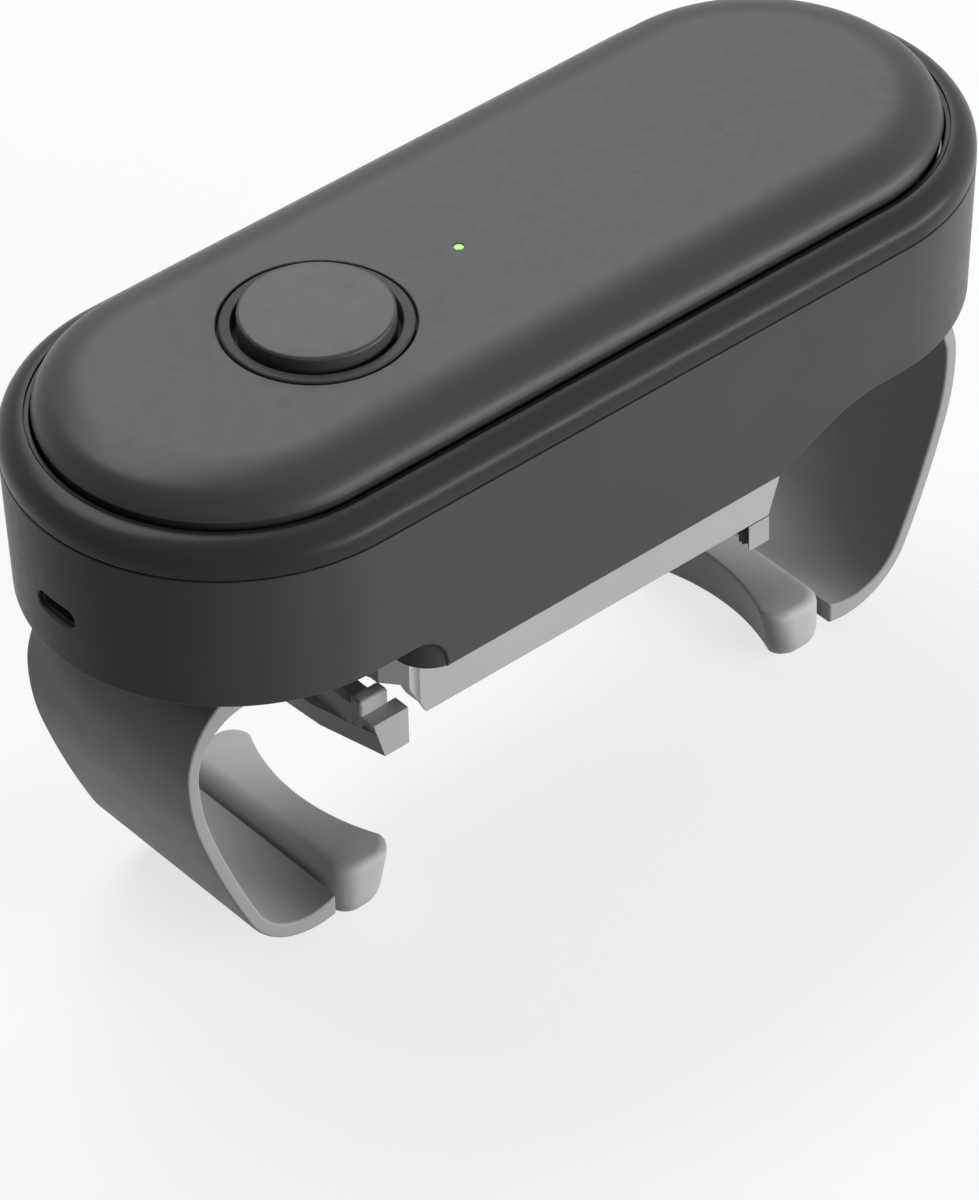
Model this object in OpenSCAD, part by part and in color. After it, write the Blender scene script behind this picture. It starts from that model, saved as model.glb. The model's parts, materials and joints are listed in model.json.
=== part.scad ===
// Electric jar opener: two curved arms hold a jar while a turning clamp unscrews its lid.
// The origin is on the table under the middle, +X runs along the casing and +Z points up.
// Inside the modules, heights count from the casing's parting line.

/* [Casing] */
// Distance from the middle to the centre of each round end
end_offset = 58.2; // [58:0.05:58.4]
// Half the casing's width at the parting line
half_width = 38; // [37.9:0.05:38.2]
// Half the casing's width at its bottom edge
foot_half_width = 36.9; // [36.8:0.05:37]
// Depth of the casing's middle below the parting line
belly_depth = 34.7; // [34.7:0.01:34.75]
// Depth of the casing's raised ends below the parting line
raised_depth = 26.9; // [26.8:0.05:27]
// Thickness of the casing's walls
wall = 2.2; // [2:0.05:2.3]
// Half-width of the domed top cover at its edge
cover_half_width = 32.3; // [32.2:0.05:32.4]
// Height of the top cover's flat above the parting line
cover_top = 13.4; // [13.2:0.05:13.5]
// Radius of the cover's rounded edge
cover_round = 6.15; // [6.1:0.05:6.2]
// Radius of the crown between the cover's flat and its rounded edge
crown_r = 18; // [17.5:0.5:18.5]

/* [Button] */
// Distance of the button from the middle, towards the left end
button_offset = 39.1; // [38.5:0.1:39.5]
// Radius of the button cap
button_r = 13.2; // [13:0.05:13.3]
// Height of the button's top above the parting line
button_top = 16.05; // [15.9:0.05:16.2]
// Outer radius of the ring round the button
bezel_r = 16.2; // [16.1:0.05:16.3]

/* [Arms] */
// Distance of the arms' outermost face from the middle
arm_reach = 87.1; // [87:0.05:87.2]
// Half the width of each arm
arm_half_width = 21.6; // [21.4:0.05:21.8]
// Radius of the arm's outer curve at its widest part
arm_side_r = 46; // [45.5:0.1:46.5]
// Radius of the arm's long, nearly straight lower curve
arm_lower_r = 180; // [178:0.5:182]
// Angle through which the arm leans inward where its foot starts
arm_lean = 25.5; // [25.4:0.05:25.6]
// Depth of the jar pads' underside below the parting line, on which the opener rests
rest_depth = 96.8; // [96.5:0.1:97]
// Distance of the middle of each pad's concave face from the middle of the opener
pad_grip = 47.6; // [47.4:0.1:47.8]
// Radius of the pads' concave face along its top edge
pad_curve = 41.6; // [41.4:0.1:42]

/* [Lid clamp] */
// Half the length of the clamp housing
clamp_half_length = 45.5; // [45.4:0.05:45.6]
// Half the width of the clamp housing
clamp_half_width = 24.5; // [24.4:0.05:24.6]
// Depth of the clamp rails' underside below the parting line
rail_depth = 55.4; // [55.3:0.05:55.5]
// Radius of the lid that the jaws hold in this pose
lid_r = 41.2; // [41.1:0.05:41.3]

/* [Gears] */
// Pressure angle of all teeth
pressure = 25; // [24:0.5:26]
// Direction from the third gear's axle to the second gear's
second_direction = 50; // [49.5:0.1:50.5]
// Direction from the second gear's axle to the first gear's
first_direction = -63.9; // [-64:0.05:-63.8]
// Direction from the first gear's axle to the motor
motor_direction = -42.1; // [-42.3:0.05:-42]

/* [Batteries] */
// Radius of each battery cell
cell_r = 9.1; // [9:0.01:9.12]
// Length of each battery cell
cell_length = 49.8; // [49:0.1:49.9]

/* [Hidden] */
$fn = 64;

dark_grey = [0.2, 0.2, 0.21];
light_grey = [0.66, 0.66, 0.66];
mid_grey = [0.45, 0.45, 0.46];
steel = [0.72, 0.72, 0.74];
brass = [0.78, 0.62, 0.3];
nylon = [0.9, 0.9, 0.86];
over = 0.01;

// Casing levels and holes
inner_top_r = half_width - wall;
draft = (half_width - foot_half_width) / belly_depth;
floor_top = -raised_depth + 2;
inner_floor_r = half_width - wall + draft * floor_top;
belly_near_left = -43.8;
belly_near_right = 30.7;
base_plate_top = -belly_depth + 1.4;
casing_screw_spots = [[70, -29], [71, 28.5], [-70, 29], [-71, -28.5]];
base_screw_spots = [[-36, -31.5], [22, -31.5], [36, 31.5], [-22, 31.5]];
socket_z = -16.4;
light_x = -8.5;
crown_turn = 22;
cover_lip = 1;
skirt_set_back = 0.55;
ring_gap = 0.2;

// Levels inside the casing
plate_top = floor_top + 2;
upper_plate_z = 6.9;
upper_plate_thick = 1.5;
board_z = 2;
board_thick = 1.6;
pillar_spots = [[36, -26.5], [28, 26.5], [58, -26.5], [80, 14.5]];
board_post_spots = [[-76, -20.8], [-38, -20.8], [-76, 20.8], [-38, 20.8]];
cell_y = 9.6;
cell_z = -13.4;
cell_start = -82.4;

// Gears: teeth and modules of each stage, motor end first
motor_teeth = 10;
stage_1 = [48, 0.6];
stage_2 = [10, 40, 0.8];
stage_3 = [10, 36, 1];
stage_4 = [12, 48, 1.25];
third_x = (stage_4[0] + stage_4[1]) * stage_4[2] / 2;
third_axis = [third_x, 0];
second_axis = third_axis
    + (stage_3[0] + stage_3[1]) * stage_3[2] / 2 * [cos(second_direction), sin(second_direction)];
first_axis = second_axis
    + (stage_2[0] + stage_2[1]) * stage_2[2] / 2 * [cos(first_direction), sin(first_direction)];
motor_axis = first_axis
    + (motor_teeth + stage_1[0]) * stage_1[1] / 2 * [cos(motor_direction), sin(motor_direction)];
spindle_r = 5;
running_gap = 0.06;
backlash = 0.12;
addendum = 0.9;
dedendum = 1.2;

// Arms and racks
rack_z = -33;
rack_thick = 3;
arm_pinion_teeth = 24;
arm_top_z = rack_z + rack_thick;
arm_top_r = 16;
arm_side_turn = 17.5;
arm_side_thick = 2.5;
arm_foot_r = 16.05;
arm_side_centre = [-arm_reach + arm_side_r, arm_top_z - arm_top_r];
lip_end = -57.3;
pad_back = -56;
pad_front = -43.5;
pad_height = 12.8;
pad_half_width = 22;
pad_flare = 3;
arm_screw_y = 12;
arm_screw_x = -72.5;

// Lid clamp
clamp_top = -36;
channel_half_width = 20.6;
channel_top = -47.8;
jaw_rack_z = -50.8;
jaw_rack_thick = 2.8;
lid_pinion_teeth = 20;
flange_top = -rail_depth - 0.3;
flange_bottom = -61.1;
grip_thick = 1.4;
ledge_y = 23.5;
ledge_top = -53.2;
clamp_screw_x = 14;

// ---------------------------------------------------------------- shared shapes

// Moves a piece from the parting line's frame to the table's
module placed() {
    translate([0, 0, rest_depth]) children();
}

// The same thing twice, half a turn apart about the spindle
module both_ways() {
    for (turn = [0, 180])
        rotate(turn) children();
}

// A plan outline with straight sides and round ends
module stadium(r) {
    square([2 * end_offset, 2 * r], center = true);
    for (side = [-1, 1])
        translate([side * end_offset, 0]) circle(r);
}

// A (radius, height) section carried round the casing's plan outline
module swept() {
    both_ways() {
        translate([end_offset, 0, 0]) rotate(-90) rotate_extrude(angle = 180) children();
        translate([-end_offset, 0, 0]) rotate([90, 0, 90]) linear_extrude(2 * end_offset) children();
    }
}

// A box from one corner to the opposite one
module block(low, high) {
    translate(low) cube(high - low);
}

// An upright cylinder between two heights
module rod(r, low, high) {
    translate([0, 0, low]) cylinder(r = r, h = high - low);
}

// An upright tube between two heights
module tube(outer_r, inner_r, low, high) {
    translate([0, 0, low]) linear_extrude(high - low) difference() {
        circle(outer_r);
        circle(inner_r);
    }
}

// Runs its children at every spot of a list
module at_spots(spots) {
    for (spot = spots)
        translate([spot[0], spot[1], 0]) children();
}

// A rectangle with round corners, from one corner to the opposite one
module round_rect(low, high, r) {
    translate(low + [r, 0]) square([high[0] - low[0] - 2 * r, high[1] - low[1]]);
    translate(low + [0, r]) square([high[0] - low[0], high[1] - low[1] - 2 * r]);
    for (x = [low[0] + r, high[0] - r], y = [low[1] + r, high[1] - r])
        translate([x, y]) circle(r);
}

// A screw that points up, its head's underside at the given height
module screw(head_r, head_h, shaft_r, head_z, length) {
    rod(head_r, head_z, head_z + head_h);
    rod(shaft_r, head_z + head_h - over, head_z + head_h + length);
}

// Points along an arc
function arc(centre, r, start, end, steps) =
    [for (i = [0:steps]) centre + r * [cos(start + (end - start) * i / steps),
                                       sin(start + (end - start) * i / steps)]];

// The involute of an angle whose cosine is base_r / r, in degrees
function involute(base_r, r) =
    sqrt(pow(r / base_r, 2) - 1) * 180 / PI - acos(base_r / r);

// Half the angle that a tooth fills at radius r
function half_tooth(teeth, size, r) =
    let (pitch_r = teeth * size / 2, base_r = pitch_r * cos(pressure))
    90 / teeth - backlash / 2 / pitch_r * 180 / PI / 2
    + involute(base_r, pitch_r) - involute(base_r, max(r, base_r));

// A gear with involute teeth, one of them centred on the given direction
module gear_2d(teeth, size, direction = 0) {
    pitch_r = teeth * size / 2;
    tip_r = pitch_r + addendum * size;
    root_r = pitch_r - dedendum * size;
    low_r = max(root_r + 0.1 * size, pitch_r * cos(pressure));
    radii = [low_r, (low_r + pitch_r) / 2, pitch_r, (pitch_r + tip_r) / 2, tip_r];
    low_half = half_tooth(teeth, size, low_r);
    polygon([for (t = [0:teeth - 1]) let (mid = direction + t * 360 / teeth)
        each concat(
            [root_r * [cos(mid - low_half), sin(mid - low_half)]],
            [for (r = radii) r * [cos(mid - half_tooth(teeth, size, r)),
                                  sin(mid - half_tooth(teeth, size, r))]],
            [for (k = [4:-1:0]) radii[k] * [cos(mid + half_tooth(teeth, size, radii[k])),
                                            sin(mid + half_tooth(teeth, size, radii[k]))]],
            [root_r * [cos(mid + low_half), sin(mid + low_half)]])]);
}

// A toothed layer of a gear
module gear(teeth, size, low, high, direction = 0) {
    translate([0, 0, low]) linear_extrude(high - low) gear_2d(teeth, size, direction);
}

// Rack teeth that point towards -Y, with a gap at x = 0 and their pitch line at the given y
module rack_teeth(size, pitch_y, first, last) {
    pitch = PI * size;
    half = pitch / 4 - backlash / 4;
    slope = tan(pressure) * size;
    for (k = [first:last])
        translate([(k + 0.5) * pitch, pitch_y])
            polygon([[-half - dedendum * slope, dedendum * size + over],
                     [-half + addendum * slope, -addendum * size],
                     [half - addendum * slope, -addendum * size],
                     [half + dedendum * slope, dedendum * size + over]]);
}

// A round wire along a list of points
module wire(points, r) {
    for (i = [1:len(points) - 1])
        let (a = points[i - 1], run = points[i] - a, length = norm(run))
            translate(a)
                rotate([0, acos(run[2] / length), atan2(run[1], run[0])])
                    cylinder(r = r, h = length, $fn = 20);
    for (i = [1:len(points) - 2])
        translate(points[i]) sphere(1.05 * r, $fn = 20);
}

// ---------------------------------------------------------------- casing

module lower_casing() {
    color(dark_grey) placed() difference() {
        union() {
            difference() {
                swept() polygon([[0, 0], [half_width, 0], [foot_half_width, -belly_depth],
                                 [0, -belly_depth]]);
                swept() polygon([[0, 1], [inner_top_r, 1], [inner_top_r, 0],
                                 [inner_floor_r, floor_top], [0, floor_top]]);
                both_ways() belly_cavity(34.5);
            }
            at_spots(casing_screw_spots) rod(2.8, floor_top - over, 0);
            at_spots(base_screw_spots) rod(3.4, base_plate_top, floor_top);
            for (y = [-6, 6])
                translate([-88, y, 0]) rod(1.5, floor_top - over, socket_z - 3.4);
        }
        both_ways() raised_end_cut();
        both_ways() rack_slot();
        charging_slot();
        at_spots(casing_screw_spots) {
            rod(1.25, -raised_depth - 1, 1);
            rod(2.7, -raised_depth - 1, -raised_depth + 1.2);
        }
        at_spots(base_screw_spots) rod(1, base_plate_top - 1, floor_top - 1.2);
    }
}

// The hollow of the deep middle on one side of the spindle, open below
module belly_cavity(reach) {
    block([belly_near_left + 2.8, -reach, -belly_depth - 1],
          [belly_near_right - 3.7, over, floor_top + over]);
}

// What is cut away below the raised ends: a step with a round inner corner on the left
// and a slope on the right
module raised_end_cut() {
    corner_r = 7;
    low = -belly_depth - 1;
    slope_end = belly_near_right + 16.3;
    difference() {
        raised_end_outline(corner_r, low, slope_end);
        belly_cheek(low);
    }
    block([-110, -arm_half_width - 0.8, low], [belly_near_left, over, -raised_depth]);
}

// The belly's rounded corner beside the left arm, which stays
module belly_cheek(low) {
    cheek_r = 7;
    cheek_end = -49;
    translate([0, 0, low - 2]) linear_extrude(-raised_depth - low + 3) {
        translate([cheek_end + cheek_r, -29.7]) circle(cheek_r);
        translate([cheek_end, -29.7]) square([10, 10]);
        translate([cheek_end + cheek_r, -29.7 - cheek_r]) square([3, 10]);
    }
}

// That step and slope, drawn as they look from the near side
module raised_end_outline(corner_r, low, slope_end) {
    blend_r = 30;
    slope_start = [belly_near_right - 1, -belly_depth - 0.5];
    slope = atan((-raised_depth - slope_start[1]) / (slope_end - slope_start[0]));
    blend_centre = [slope_end + blend_r * tan(slope / 2), -raised_depth - blend_r];
    translate([0, over, 0]) rotate([90, 0, 0]) linear_extrude(half_width + 2) {
        translate([-110, low - 1])
            square([110 + belly_near_left - corner_r, -raised_depth - low + 1]);
        translate([-110, low - 1])
            square([110 + belly_near_left, -raised_depth - corner_r - low + 1]);
        translate([belly_near_left - corner_r, -raised_depth - corner_r]) circle(corner_r);
        polygon(concat([[slope_start[0], low - 1], slope_start],
                       arc(blend_centre, blend_r, 90 + slope, 90, 5),
                       [[110, -raised_depth], [110, low - 1]]));
    }
}

// The slot through which an arm's rack slides into the middle
module rack_slot() {
    block([-60, 2.6, rack_z - 0.3], [-20, 20.4, rack_z + rack_thick + 0.3]);
}

module charging_slot() {
    translate([-end_offset - half_width - 1, 0, socket_z]) rotate([90, 0, 90]) linear_extrude(6) {
        square([9.5 - 3.7, 3.7], center = true);
        for (side = [-1, 1])
            translate([side * (9.5 - 3.7) / 2, 0]) circle(3.7 / 2);
    }
}

module upper_casing() {
    shoulder_r = 4.8;
    shoulder_top = 6.4;
    seam = 0.3;
    ring_r = half_width - shoulder_r;
    ring_inner_r = cover_half_width + ring_gap;
    color(dark_grey) placed() difference() {
        union() {
            swept() {
                intersection() {
                    translate([ring_r, shoulder_top - shoulder_r]) circle(shoulder_r);
                    translate([ring_r, seam]) square([shoulder_r + 1, shoulder_top]);
                }
                translate([ring_inner_r, seam])
                    square([ring_r - ring_inner_r + over, shoulder_top - seam]);
                translate([ring_r, seam])
                    square([shoulder_r, shoulder_top - shoulder_r - seam]);
                translate([30, 2.2]) square([4, 1.8]);
                translate([34.3, -2.5]) square([inner_top_r - 0.2 - 34.3, 3]);
            }
            at_spots(casing_screw_spots) rod(2.8, 0, 2.4);
        }
        at_spots(casing_screw_spots) rod(1, -1, 4.2);
    }
}

// Section of the domed cover, made smaller by an inset: a skirt set back under a lip, a rounded
// edge and a crown
module dome_section(inset, set_back, lip) {
    edge = cover_half_width - inset;
    top = cover_top - inset;
    r = cover_round - inset;
    crown = crown_r - inset;
    spring = cover_top - cover_round - (crown_r - cover_round) * (1 - cos(crown_turn));
    flat = edge - r - (crown_r - cover_round) * sin(crown_turn);
    crown_end = edge - r + r * sin(crown_turn);
    skirt_low = 4;
    translate([0, skirt_low]) square([edge - set_back, spring + lip - skirt_low]);
    translate([0, skirt_low]) square([flat, top - skirt_low]);
    intersection() {
        translate([flat, top - crown]) circle(crown);
        translate([flat, skirt_low]) square([crown_end - flat, top]);
    }
    intersection() {
        translate([edge - r, spring]) circle(r);
        translate([crown_end, spring + lip]) square([r, r]);
    }
}

module top_cover() {
    color(dark_grey) placed() difference() {
        swept() dome_section(0, skirt_set_back, cover_lip);
        translate([0, 0, -over]) swept() dome_section(1.8, 0, 0);
        translate([-button_offset, 0, 0]) rod(bezel_r + 0.4, 9, cover_top + 1);
        translate([light_x, 0, 0]) rod(0.9 + running_gap, 9, cover_top + 1);
    }
}

module base_plate() {
    color(dark_grey) placed() {
        difference() {
            both_ways()
                block([belly_near_left + 3, -34.3, -belly_depth],
                      [belly_near_right - 3.9, 0, base_plate_top]);
            rod(9 + running_gap, -belly_depth - 1, base_plate_top + 1);
            at_spots(base_screw_spots) {
                rod(1.3, -belly_depth - 1, base_plate_top + 1);
                rod(2.5, -belly_depth - 1, -belly_depth + 0.8);
            }
        }
        both_ways()
            block([-24, 20.15, base_plate_top - over], [38, 21.6, rack_z + rack_thick - 0.5]);
    }
}

module casing_screws() {
    color(steel) placed() at_spots(casing_screw_spots)
        screw(2.5, 1.1, 1, -raised_depth + 0.1, 28.5);
}

module base_screws() {
    color(steel) placed() at_spots(base_screw_spots)
        screw(2.4, 0.7, 1, -belly_depth + 0.1, 6.8);
}

// ---------------------------------------------------------------- button and electronics

module control_bezel() {
    color(dark_grey) placed() translate([-button_offset, 0, 0]) {
        tube(bezel_r, button_r + 1, 9, cover_top + 0.2);
        tube(bezel_r, 4 + running_gap, 9, 10);
        tube(bezel_r + 2.3, bezel_r - 1, cover_top - 3, cover_top - 1.9);
    }
}

module button_cap() {
    edge = 1;
    color(dark_grey) placed() translate([-button_offset, 0, 0]) {
        rotate_extrude() {
            translate([0, 14.3]) square([button_r - edge, button_top - 14.3]);
            translate([0, 14.3]) square([button_r, button_top - 14.3 - edge]);
            translate([button_r - edge, button_top - edge]) circle(edge);
            translate([11.9, 11.2]) square([button_r - 11.9, 3.2]);
            translate([0, 8.8]) square([4, 5.6]);
            translate([0, 7.9]) square([4.8, 1]);
        }
    }
}

// An open coil spring: one tube of round wire along a helix
module coil(coil_r, wire_r, low, high, turns) {
    steps = 24 * turns;
    sides = 8;
    climb = (high - low) / steps;
    points = [for (i = [0:steps]) let (a = i * 360 / 24)
        each [for (k = [0:sides - 1]) let (b = k * 360 / sides)
            [(coil_r + wire_r * cos(b)) * cos(a), (coil_r + wire_r * cos(b)) * sin(a),
             low + climb * i + wire_r * sin(b)]]];
    skin = [for (i = [0:steps - 1], k = [0:sides - 1]) let (n = (k + 1) % sides)
        [i * sides + k, i * sides + n, (i + 1) * sides + n, (i + 1) * sides + k]];
    polyhedron(points, concat(skin,
        [[for (k = [sides - 1:-1:0]) k]],
        [[for (k = [0:sides - 1]) steps * sides + k]]));
}

module button_spring() {
    wire_r = 0.35;
    color(steel) placed() translate([-button_offset, 0, 0])
        coil(6.5, wire_r, 10 + wire_r + 0.02, 14.3 - wire_r - 0.02, 3.5);
}

module switch_plunger() {
    color(dark_grey) placed() translate([-button_offset, 0, 0]) rod(1.7, 4.9, 7.9);
}

module tact_switch() {
    top = board_z + board_thick;
    color(steel) placed() translate([-button_offset, 0, 0]) difference() {
        block([-3, -3, top], [3, 3, top + 2.8]);
        rod(1.7 + running_gap, top + 0.2, top + 3);
    }
}

module light_window() {
    color([0.4, 0.9, 0.2]) placed() translate([light_x, 0, 0]) {
        rod(0.9, 7.5, cover_top);
        rod(2, cover_top - 3, cover_top - 1.9);
    }
}

module status_led() {
    top = board_z + board_thick;
    color([0.4, 0.9, 0.2]) placed() translate([light_x, 0, 0]) {
        rod(1.5, top, top + 2);
        translate([0, 0, top + 2]) sphere(1.4);
    }
}

module circuit_board() {
    color([0.1, 0.35, 0.2]) placed() difference() {
        translate([0, 0, board_z]) linear_extrude(board_thick) intersection() {
            stadium(29.4);
            translate([-84, -23]) square([80, 46]);
        }
        at_spots(board_post_spots) rod(1, board_z - 1, board_z + 3);
    }
}

module board_screws() {
    color(steel) placed() at_spots(board_post_spots) {
        rod(1, board_z - 5, board_z + board_thick);
        rod(1.8, board_z + board_thick, board_z + board_thick + 1.2);
    }
}

module charging_board() {
    color([0.1, 0.35, 0.2]) placed()
        block([-92.4, -8, socket_z - 3.4], [-84, 8, socket_z - 1.8]);
}

// The rounded outline of a charging socket, made smaller by an inset
module socket_outline(inset) {
    height = 3.2 - 2 * inset;
    width = 8.94 - 2 * inset;
    square([width - height, height], center = true);
    for (side = [-1, 1])
        translate([side * (width - height) / 2, 0]) circle(height / 2);
}

module charging_socket() {
    color(steel) placed() translate([-94.6, 0, socket_z]) rotate([90, 0, 90]) {
        difference() {
            linear_extrude(7.3) socket_outline(0);
            translate([0, 0, -1]) linear_extrude(7.4) socket_outline(0.35);
        }
        translate([-3, -0.35, 1]) cube([6, 0.7, 6]);
        for (side = [-1, 1])
            translate([side * 3.2 - 0.5, -1.8, 3]) cube([1, 0.6, 2.5]);
    }
}

// ---------------------------------------------------------------- batteries and leads

module cell(y) {
    color([0.25, 0.45, 0.7]) placed() translate([cell_start, y, cell_z]) rotate([0, 90, 0]) {
        cylinder(r = cell_r, h = cell_length - 1);
        cylinder(r = 3, h = cell_length);
    }
}

module battery_cell_near() {
    cell(-cell_y);
}

module battery_cell_far() {
    cell(cell_y);
}

module battery_cradle() {
    color(nylon) placed() difference() {
        union() {
            block([-80, -20.4, floor_top], [-36, 20.4, cell_z - 0.6]);
            at_spots(board_post_spots) rod(1.8, floor_top, board_z);
        }
        for (y = [-cell_y, cell_y])
            translate([-90, y, cell_z]) rotate([0, 90, 0]) cylinder(r = cell_r + 0.05, h = 60);
        at_spots(board_post_spots) rod(1, board_z - 5, board_z + 1);
    }
}

// Leads from the cells' ends up to the board
module battery_leads() {
    r = 0.6;
    end_x = cell_start + cell_length + 0.5;
    color([0.7, 0.1, 0.1]) placed()
        for (side = [-1, 1])
            wire([[end_x, side * cell_y, cell_z], [end_x + 0.9, side * cell_y, cell_z + 2],
                  [end_x + 0.9, side * 12, -4], [end_x - 3, side * 14, board_z + 0.3]], r);
}

// Leads from the motor, along the casing's near wall, to the board
module motor_leads() {
    r = 0.6;
    color([0.7, 0.1, 0.1]) placed()
        for (side = [0, 1])
            let (drop = 2 * side)
                wire([[motor_axis[0] - 3, motor_axis[1] - 11, -17 - drop],
                      [62 - side, -31.4, -5 - drop], [-4 - 3 * side, -31.4, -5 - drop],
                      [-8 - 3 * side, -21, board_z + 0.3]], r);
}

// ---------------------------------------------------------------- motor and gears

module motor() {
    r = 12.2;
    color(steel) placed() translate([motor_axis[0], motor_axis[1], 0]) difference() {
        union() {
            rod(r, plate_top, 0.6);
            rod(3.1, 0.5, 1.5);
        }
        rod(1 + running_gap, -20, 2);
    }
}

module motor_shaft() {
    color(steel) placed() translate([motor_axis[0], motor_axis[1], 0]) rod(1, -19.8, 6.6);
}

// Each pinion has a tooth, and each wheel a gap, on the line between their axles
module motor_pinion() {
    color(brass) placed() translate([motor_axis[0], motor_axis[1], 0]) difference() {
        gear(motor_teeth, stage_1[1], 3, 6.6, motor_direction + 180);
        rod(1, 2, 8);
    }
}

module first_gear() {
    color(nylon) placed() translate([first_axis[0], first_axis[1], 0]) difference() {
        union() {
            rod(2.6, plate_top + 0.3, -10.4);
            gear(stage_2[0], stage_2[2], -10.5, 3.6, first_direction + 180);
            gear(stage_1[0], stage_1[1], 3.5, 6.5, motor_direction + 180 / stage_1[0]);
        }
        rod(1.5 + running_gap, plate_top, 8);
    }
}

module second_gear() {
    color(nylon) placed() translate([second_axis[0], second_axis[1], 0]) difference() {
        union() {
            rod(3, plate_top + 0.3, -15.1);
            gear(stage_3[0], stage_3[2], -15.2, -10.4, second_direction + 180);
            gear(stage_2[1], stage_2[2], -10.5, -7, first_direction + 180 / stage_2[1]);
            rod(3, -7.1, upper_plate_z - 0.3);
        }
        rod(1.5 + running_gap, plate_top, 8);
    }
}

module third_gear() {
    color(nylon) placed() translate([third_axis[0], third_axis[1], 0]) difference() {
        union() {
            gear(stage_4[0], stage_4[2], plate_top + 0.4, -15.1, 180);
            gear(stage_3[1], stage_3[2], -15.2, -11.2, second_direction + 180 / stage_3[1]);
            rod(3.5, -11.3, upper_plate_z - 0.3);
        }
        rod(2 + running_gap, plate_top, 8);
    }
}

module axle(spot, r) {
    color(steel) placed() translate([spot[0], spot[1], 0])
        rod(r, floor_top, upper_plate_z + upper_plate_thick);
}

module first_axle() {
    axle(first_axis, 1.5);
}

module second_axle() {
    axle(second_axis, 1.5);
}

module third_axle() {
    axle(third_axis, 2);
}

// Holes that hold the three axles
module axle_holes(low, high) {
    at_spots([first_axis, second_axis]) rod(1.5, low, high);
    at_spots([third_axis]) rod(2, low, high);
}

module lower_gear_plate() {
    color(nylon) placed() difference() {
        union() {
            translate([0, 0, floor_top]) linear_extrude(plate_top - floor_top) intersection() {
                stadium(34.6);
                translate([-33, -40]) square([140, 80]);
            }
            at_spots(pillar_spots) rod(2.6, plate_top - over, upper_plate_z);
        }
        axle_holes(floor_top - 1, plate_top + 1);
        rod(8, floor_top - 1, plate_top + 1);
        at_spots(casing_screw_spots) rod(3.1, floor_top - 1, plate_top + 1);
        at_spots(pillar_spots) rod(0.9, 0, upper_plate_z + 1);
    }
}

module upper_gear_plate() {
    color(nylon) placed() difference() {
        translate([0, 0, upper_plate_z]) linear_extrude(upper_plate_thick) intersection() {
            stadium(29.4);
            translate([22, -40]) square([100, 80]);
        }
        axle_holes(0, 10);
        at_spots(pillar_spots) rod(0.9, 0, 10);
    }
}

module plate_screws() {
    top = upper_plate_z + upper_plate_thick;
    color(steel) placed() at_spots(pillar_spots) {
        rod(0.9, top - 6, top);
        rod(1.8, top, top + 1.2);
    }
}

module spindle_bush() {
    color(brass) placed() tube(8, spindle_r + running_gap, floor_top, plate_top + 0.7);
}

module output_gear() {
    color(nylon) placed() difference() {
        gear(stage_4[1], stage_4[2], plate_top + 1, plate_top + 7, 180 / stage_4[1]);
        rod(spindle_r, plate_top, plate_top + 8);
    }
}

module spindle() {
    color(steel) placed() rod(spindle_r, -44, plate_top + 8);
}

module spindle_clip() {
    color(steel) placed() difference() {
        tube(7.6, spindle_r, plate_top + 7, plate_top + 7.8);
        block([0, -1.5, plate_top + 6], [9, 1.5, plate_top + 9]);
    }
}

// ---------------------------------------------------------------- lid clamp

module thrust_washer() {
    color(nylon) placed() tube(13.5, 9.1, clamp_top + 0.7, -belly_depth - 0.1);
}

module clamp_housing() {
    color(light_grey) placed() difference() {
        union() {
            translate([0, 0, -rail_depth]) linear_extrude(clamp_top + rail_depth)
                round_rect([-clamp_half_length, -clamp_half_width],
                           [clamp_half_length, clamp_half_width], 4);
            translate([0, 0, channel_top]) linear_extrude(clamp_top - channel_top)
                both_ways() polygon([[-clamp_half_length + 1, -18.4], [-clamp_half_length, -18.4],
                                     [-48, -12], [-48, 12], [-clamp_half_length, 18.4],
                                     [-clamp_half_length + 1, 18.4]]);
            rod(13.5, clamp_top - over, clamp_top + 0.7);
            rod(9, clamp_top - over, -33.5);
        }
        difference() {
            block([-60, -channel_half_width, -rail_depth - 1],
                  [60, channel_half_width, channel_top]);
            for (x = [-clamp_screw_x, clamp_screw_x])
                translate([x, 0, 0]) rod(2.4, jaw_rack_z - 0.2, channel_top + over);
        }
        rod(spindle_r, -44, -30);
        rod(2.5, channel_top + 2.3 - 20, channel_top + 2.3);
        for (x = [-clamp_screw_x, clamp_screw_x])
            translate([x, 0, 0]) rod(1, -60, channel_top + 2);
        both_ways() rail_end_cuts();
        both_ways()
            block([-60, -ledge_y - 0.2, -rail_depth - 1],
                  [-19, -channel_half_width + over, ledge_top + 0.2]);
    }
}

// The near rail's ends: a slant under its left end and a leaning right end
module rail_end_cuts() {
    translate([0, -channel_half_width, 0]) rotate([90, 0, 0]) linear_extrude(12) {
        polygon([[-clamp_half_length - 1, -47.4], [-42.2, -48], [-38.5, -rail_depth - 0.1],
                 [-clamp_half_length - 1, -rail_depth - 0.1]]);
        polygon([[clamp_half_length, -38], [clamp_half_length - 6.2, -rail_depth - 0.1],
                 [clamp_half_length + 1, -rail_depth - 0.1], [clamp_half_length + 1, -38]]);
    }
}

module clamp_cover() {
    half_x = clamp_screw_x + 2.5;
    color(light_grey) placed() difference() {
        block([-half_x, -channel_half_width + 0.1, -rail_depth],
              [half_x, channel_half_width - 0.1, jaw_rack_z - 0.2]);
        rod(2.5, -53.5, -50);
        for (x = [-clamp_screw_x, clamp_screw_x])
            translate([x, 0, 0]) {
                rod(1.1, -60, -50);
                rod(2.2, -60, -rail_depth + 1.2);
            }
    }
}

module pressure_pad() {
    color(dark_grey) placed() rod(11.2, -rail_depth - 1.2, -rail_depth);
}

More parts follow.
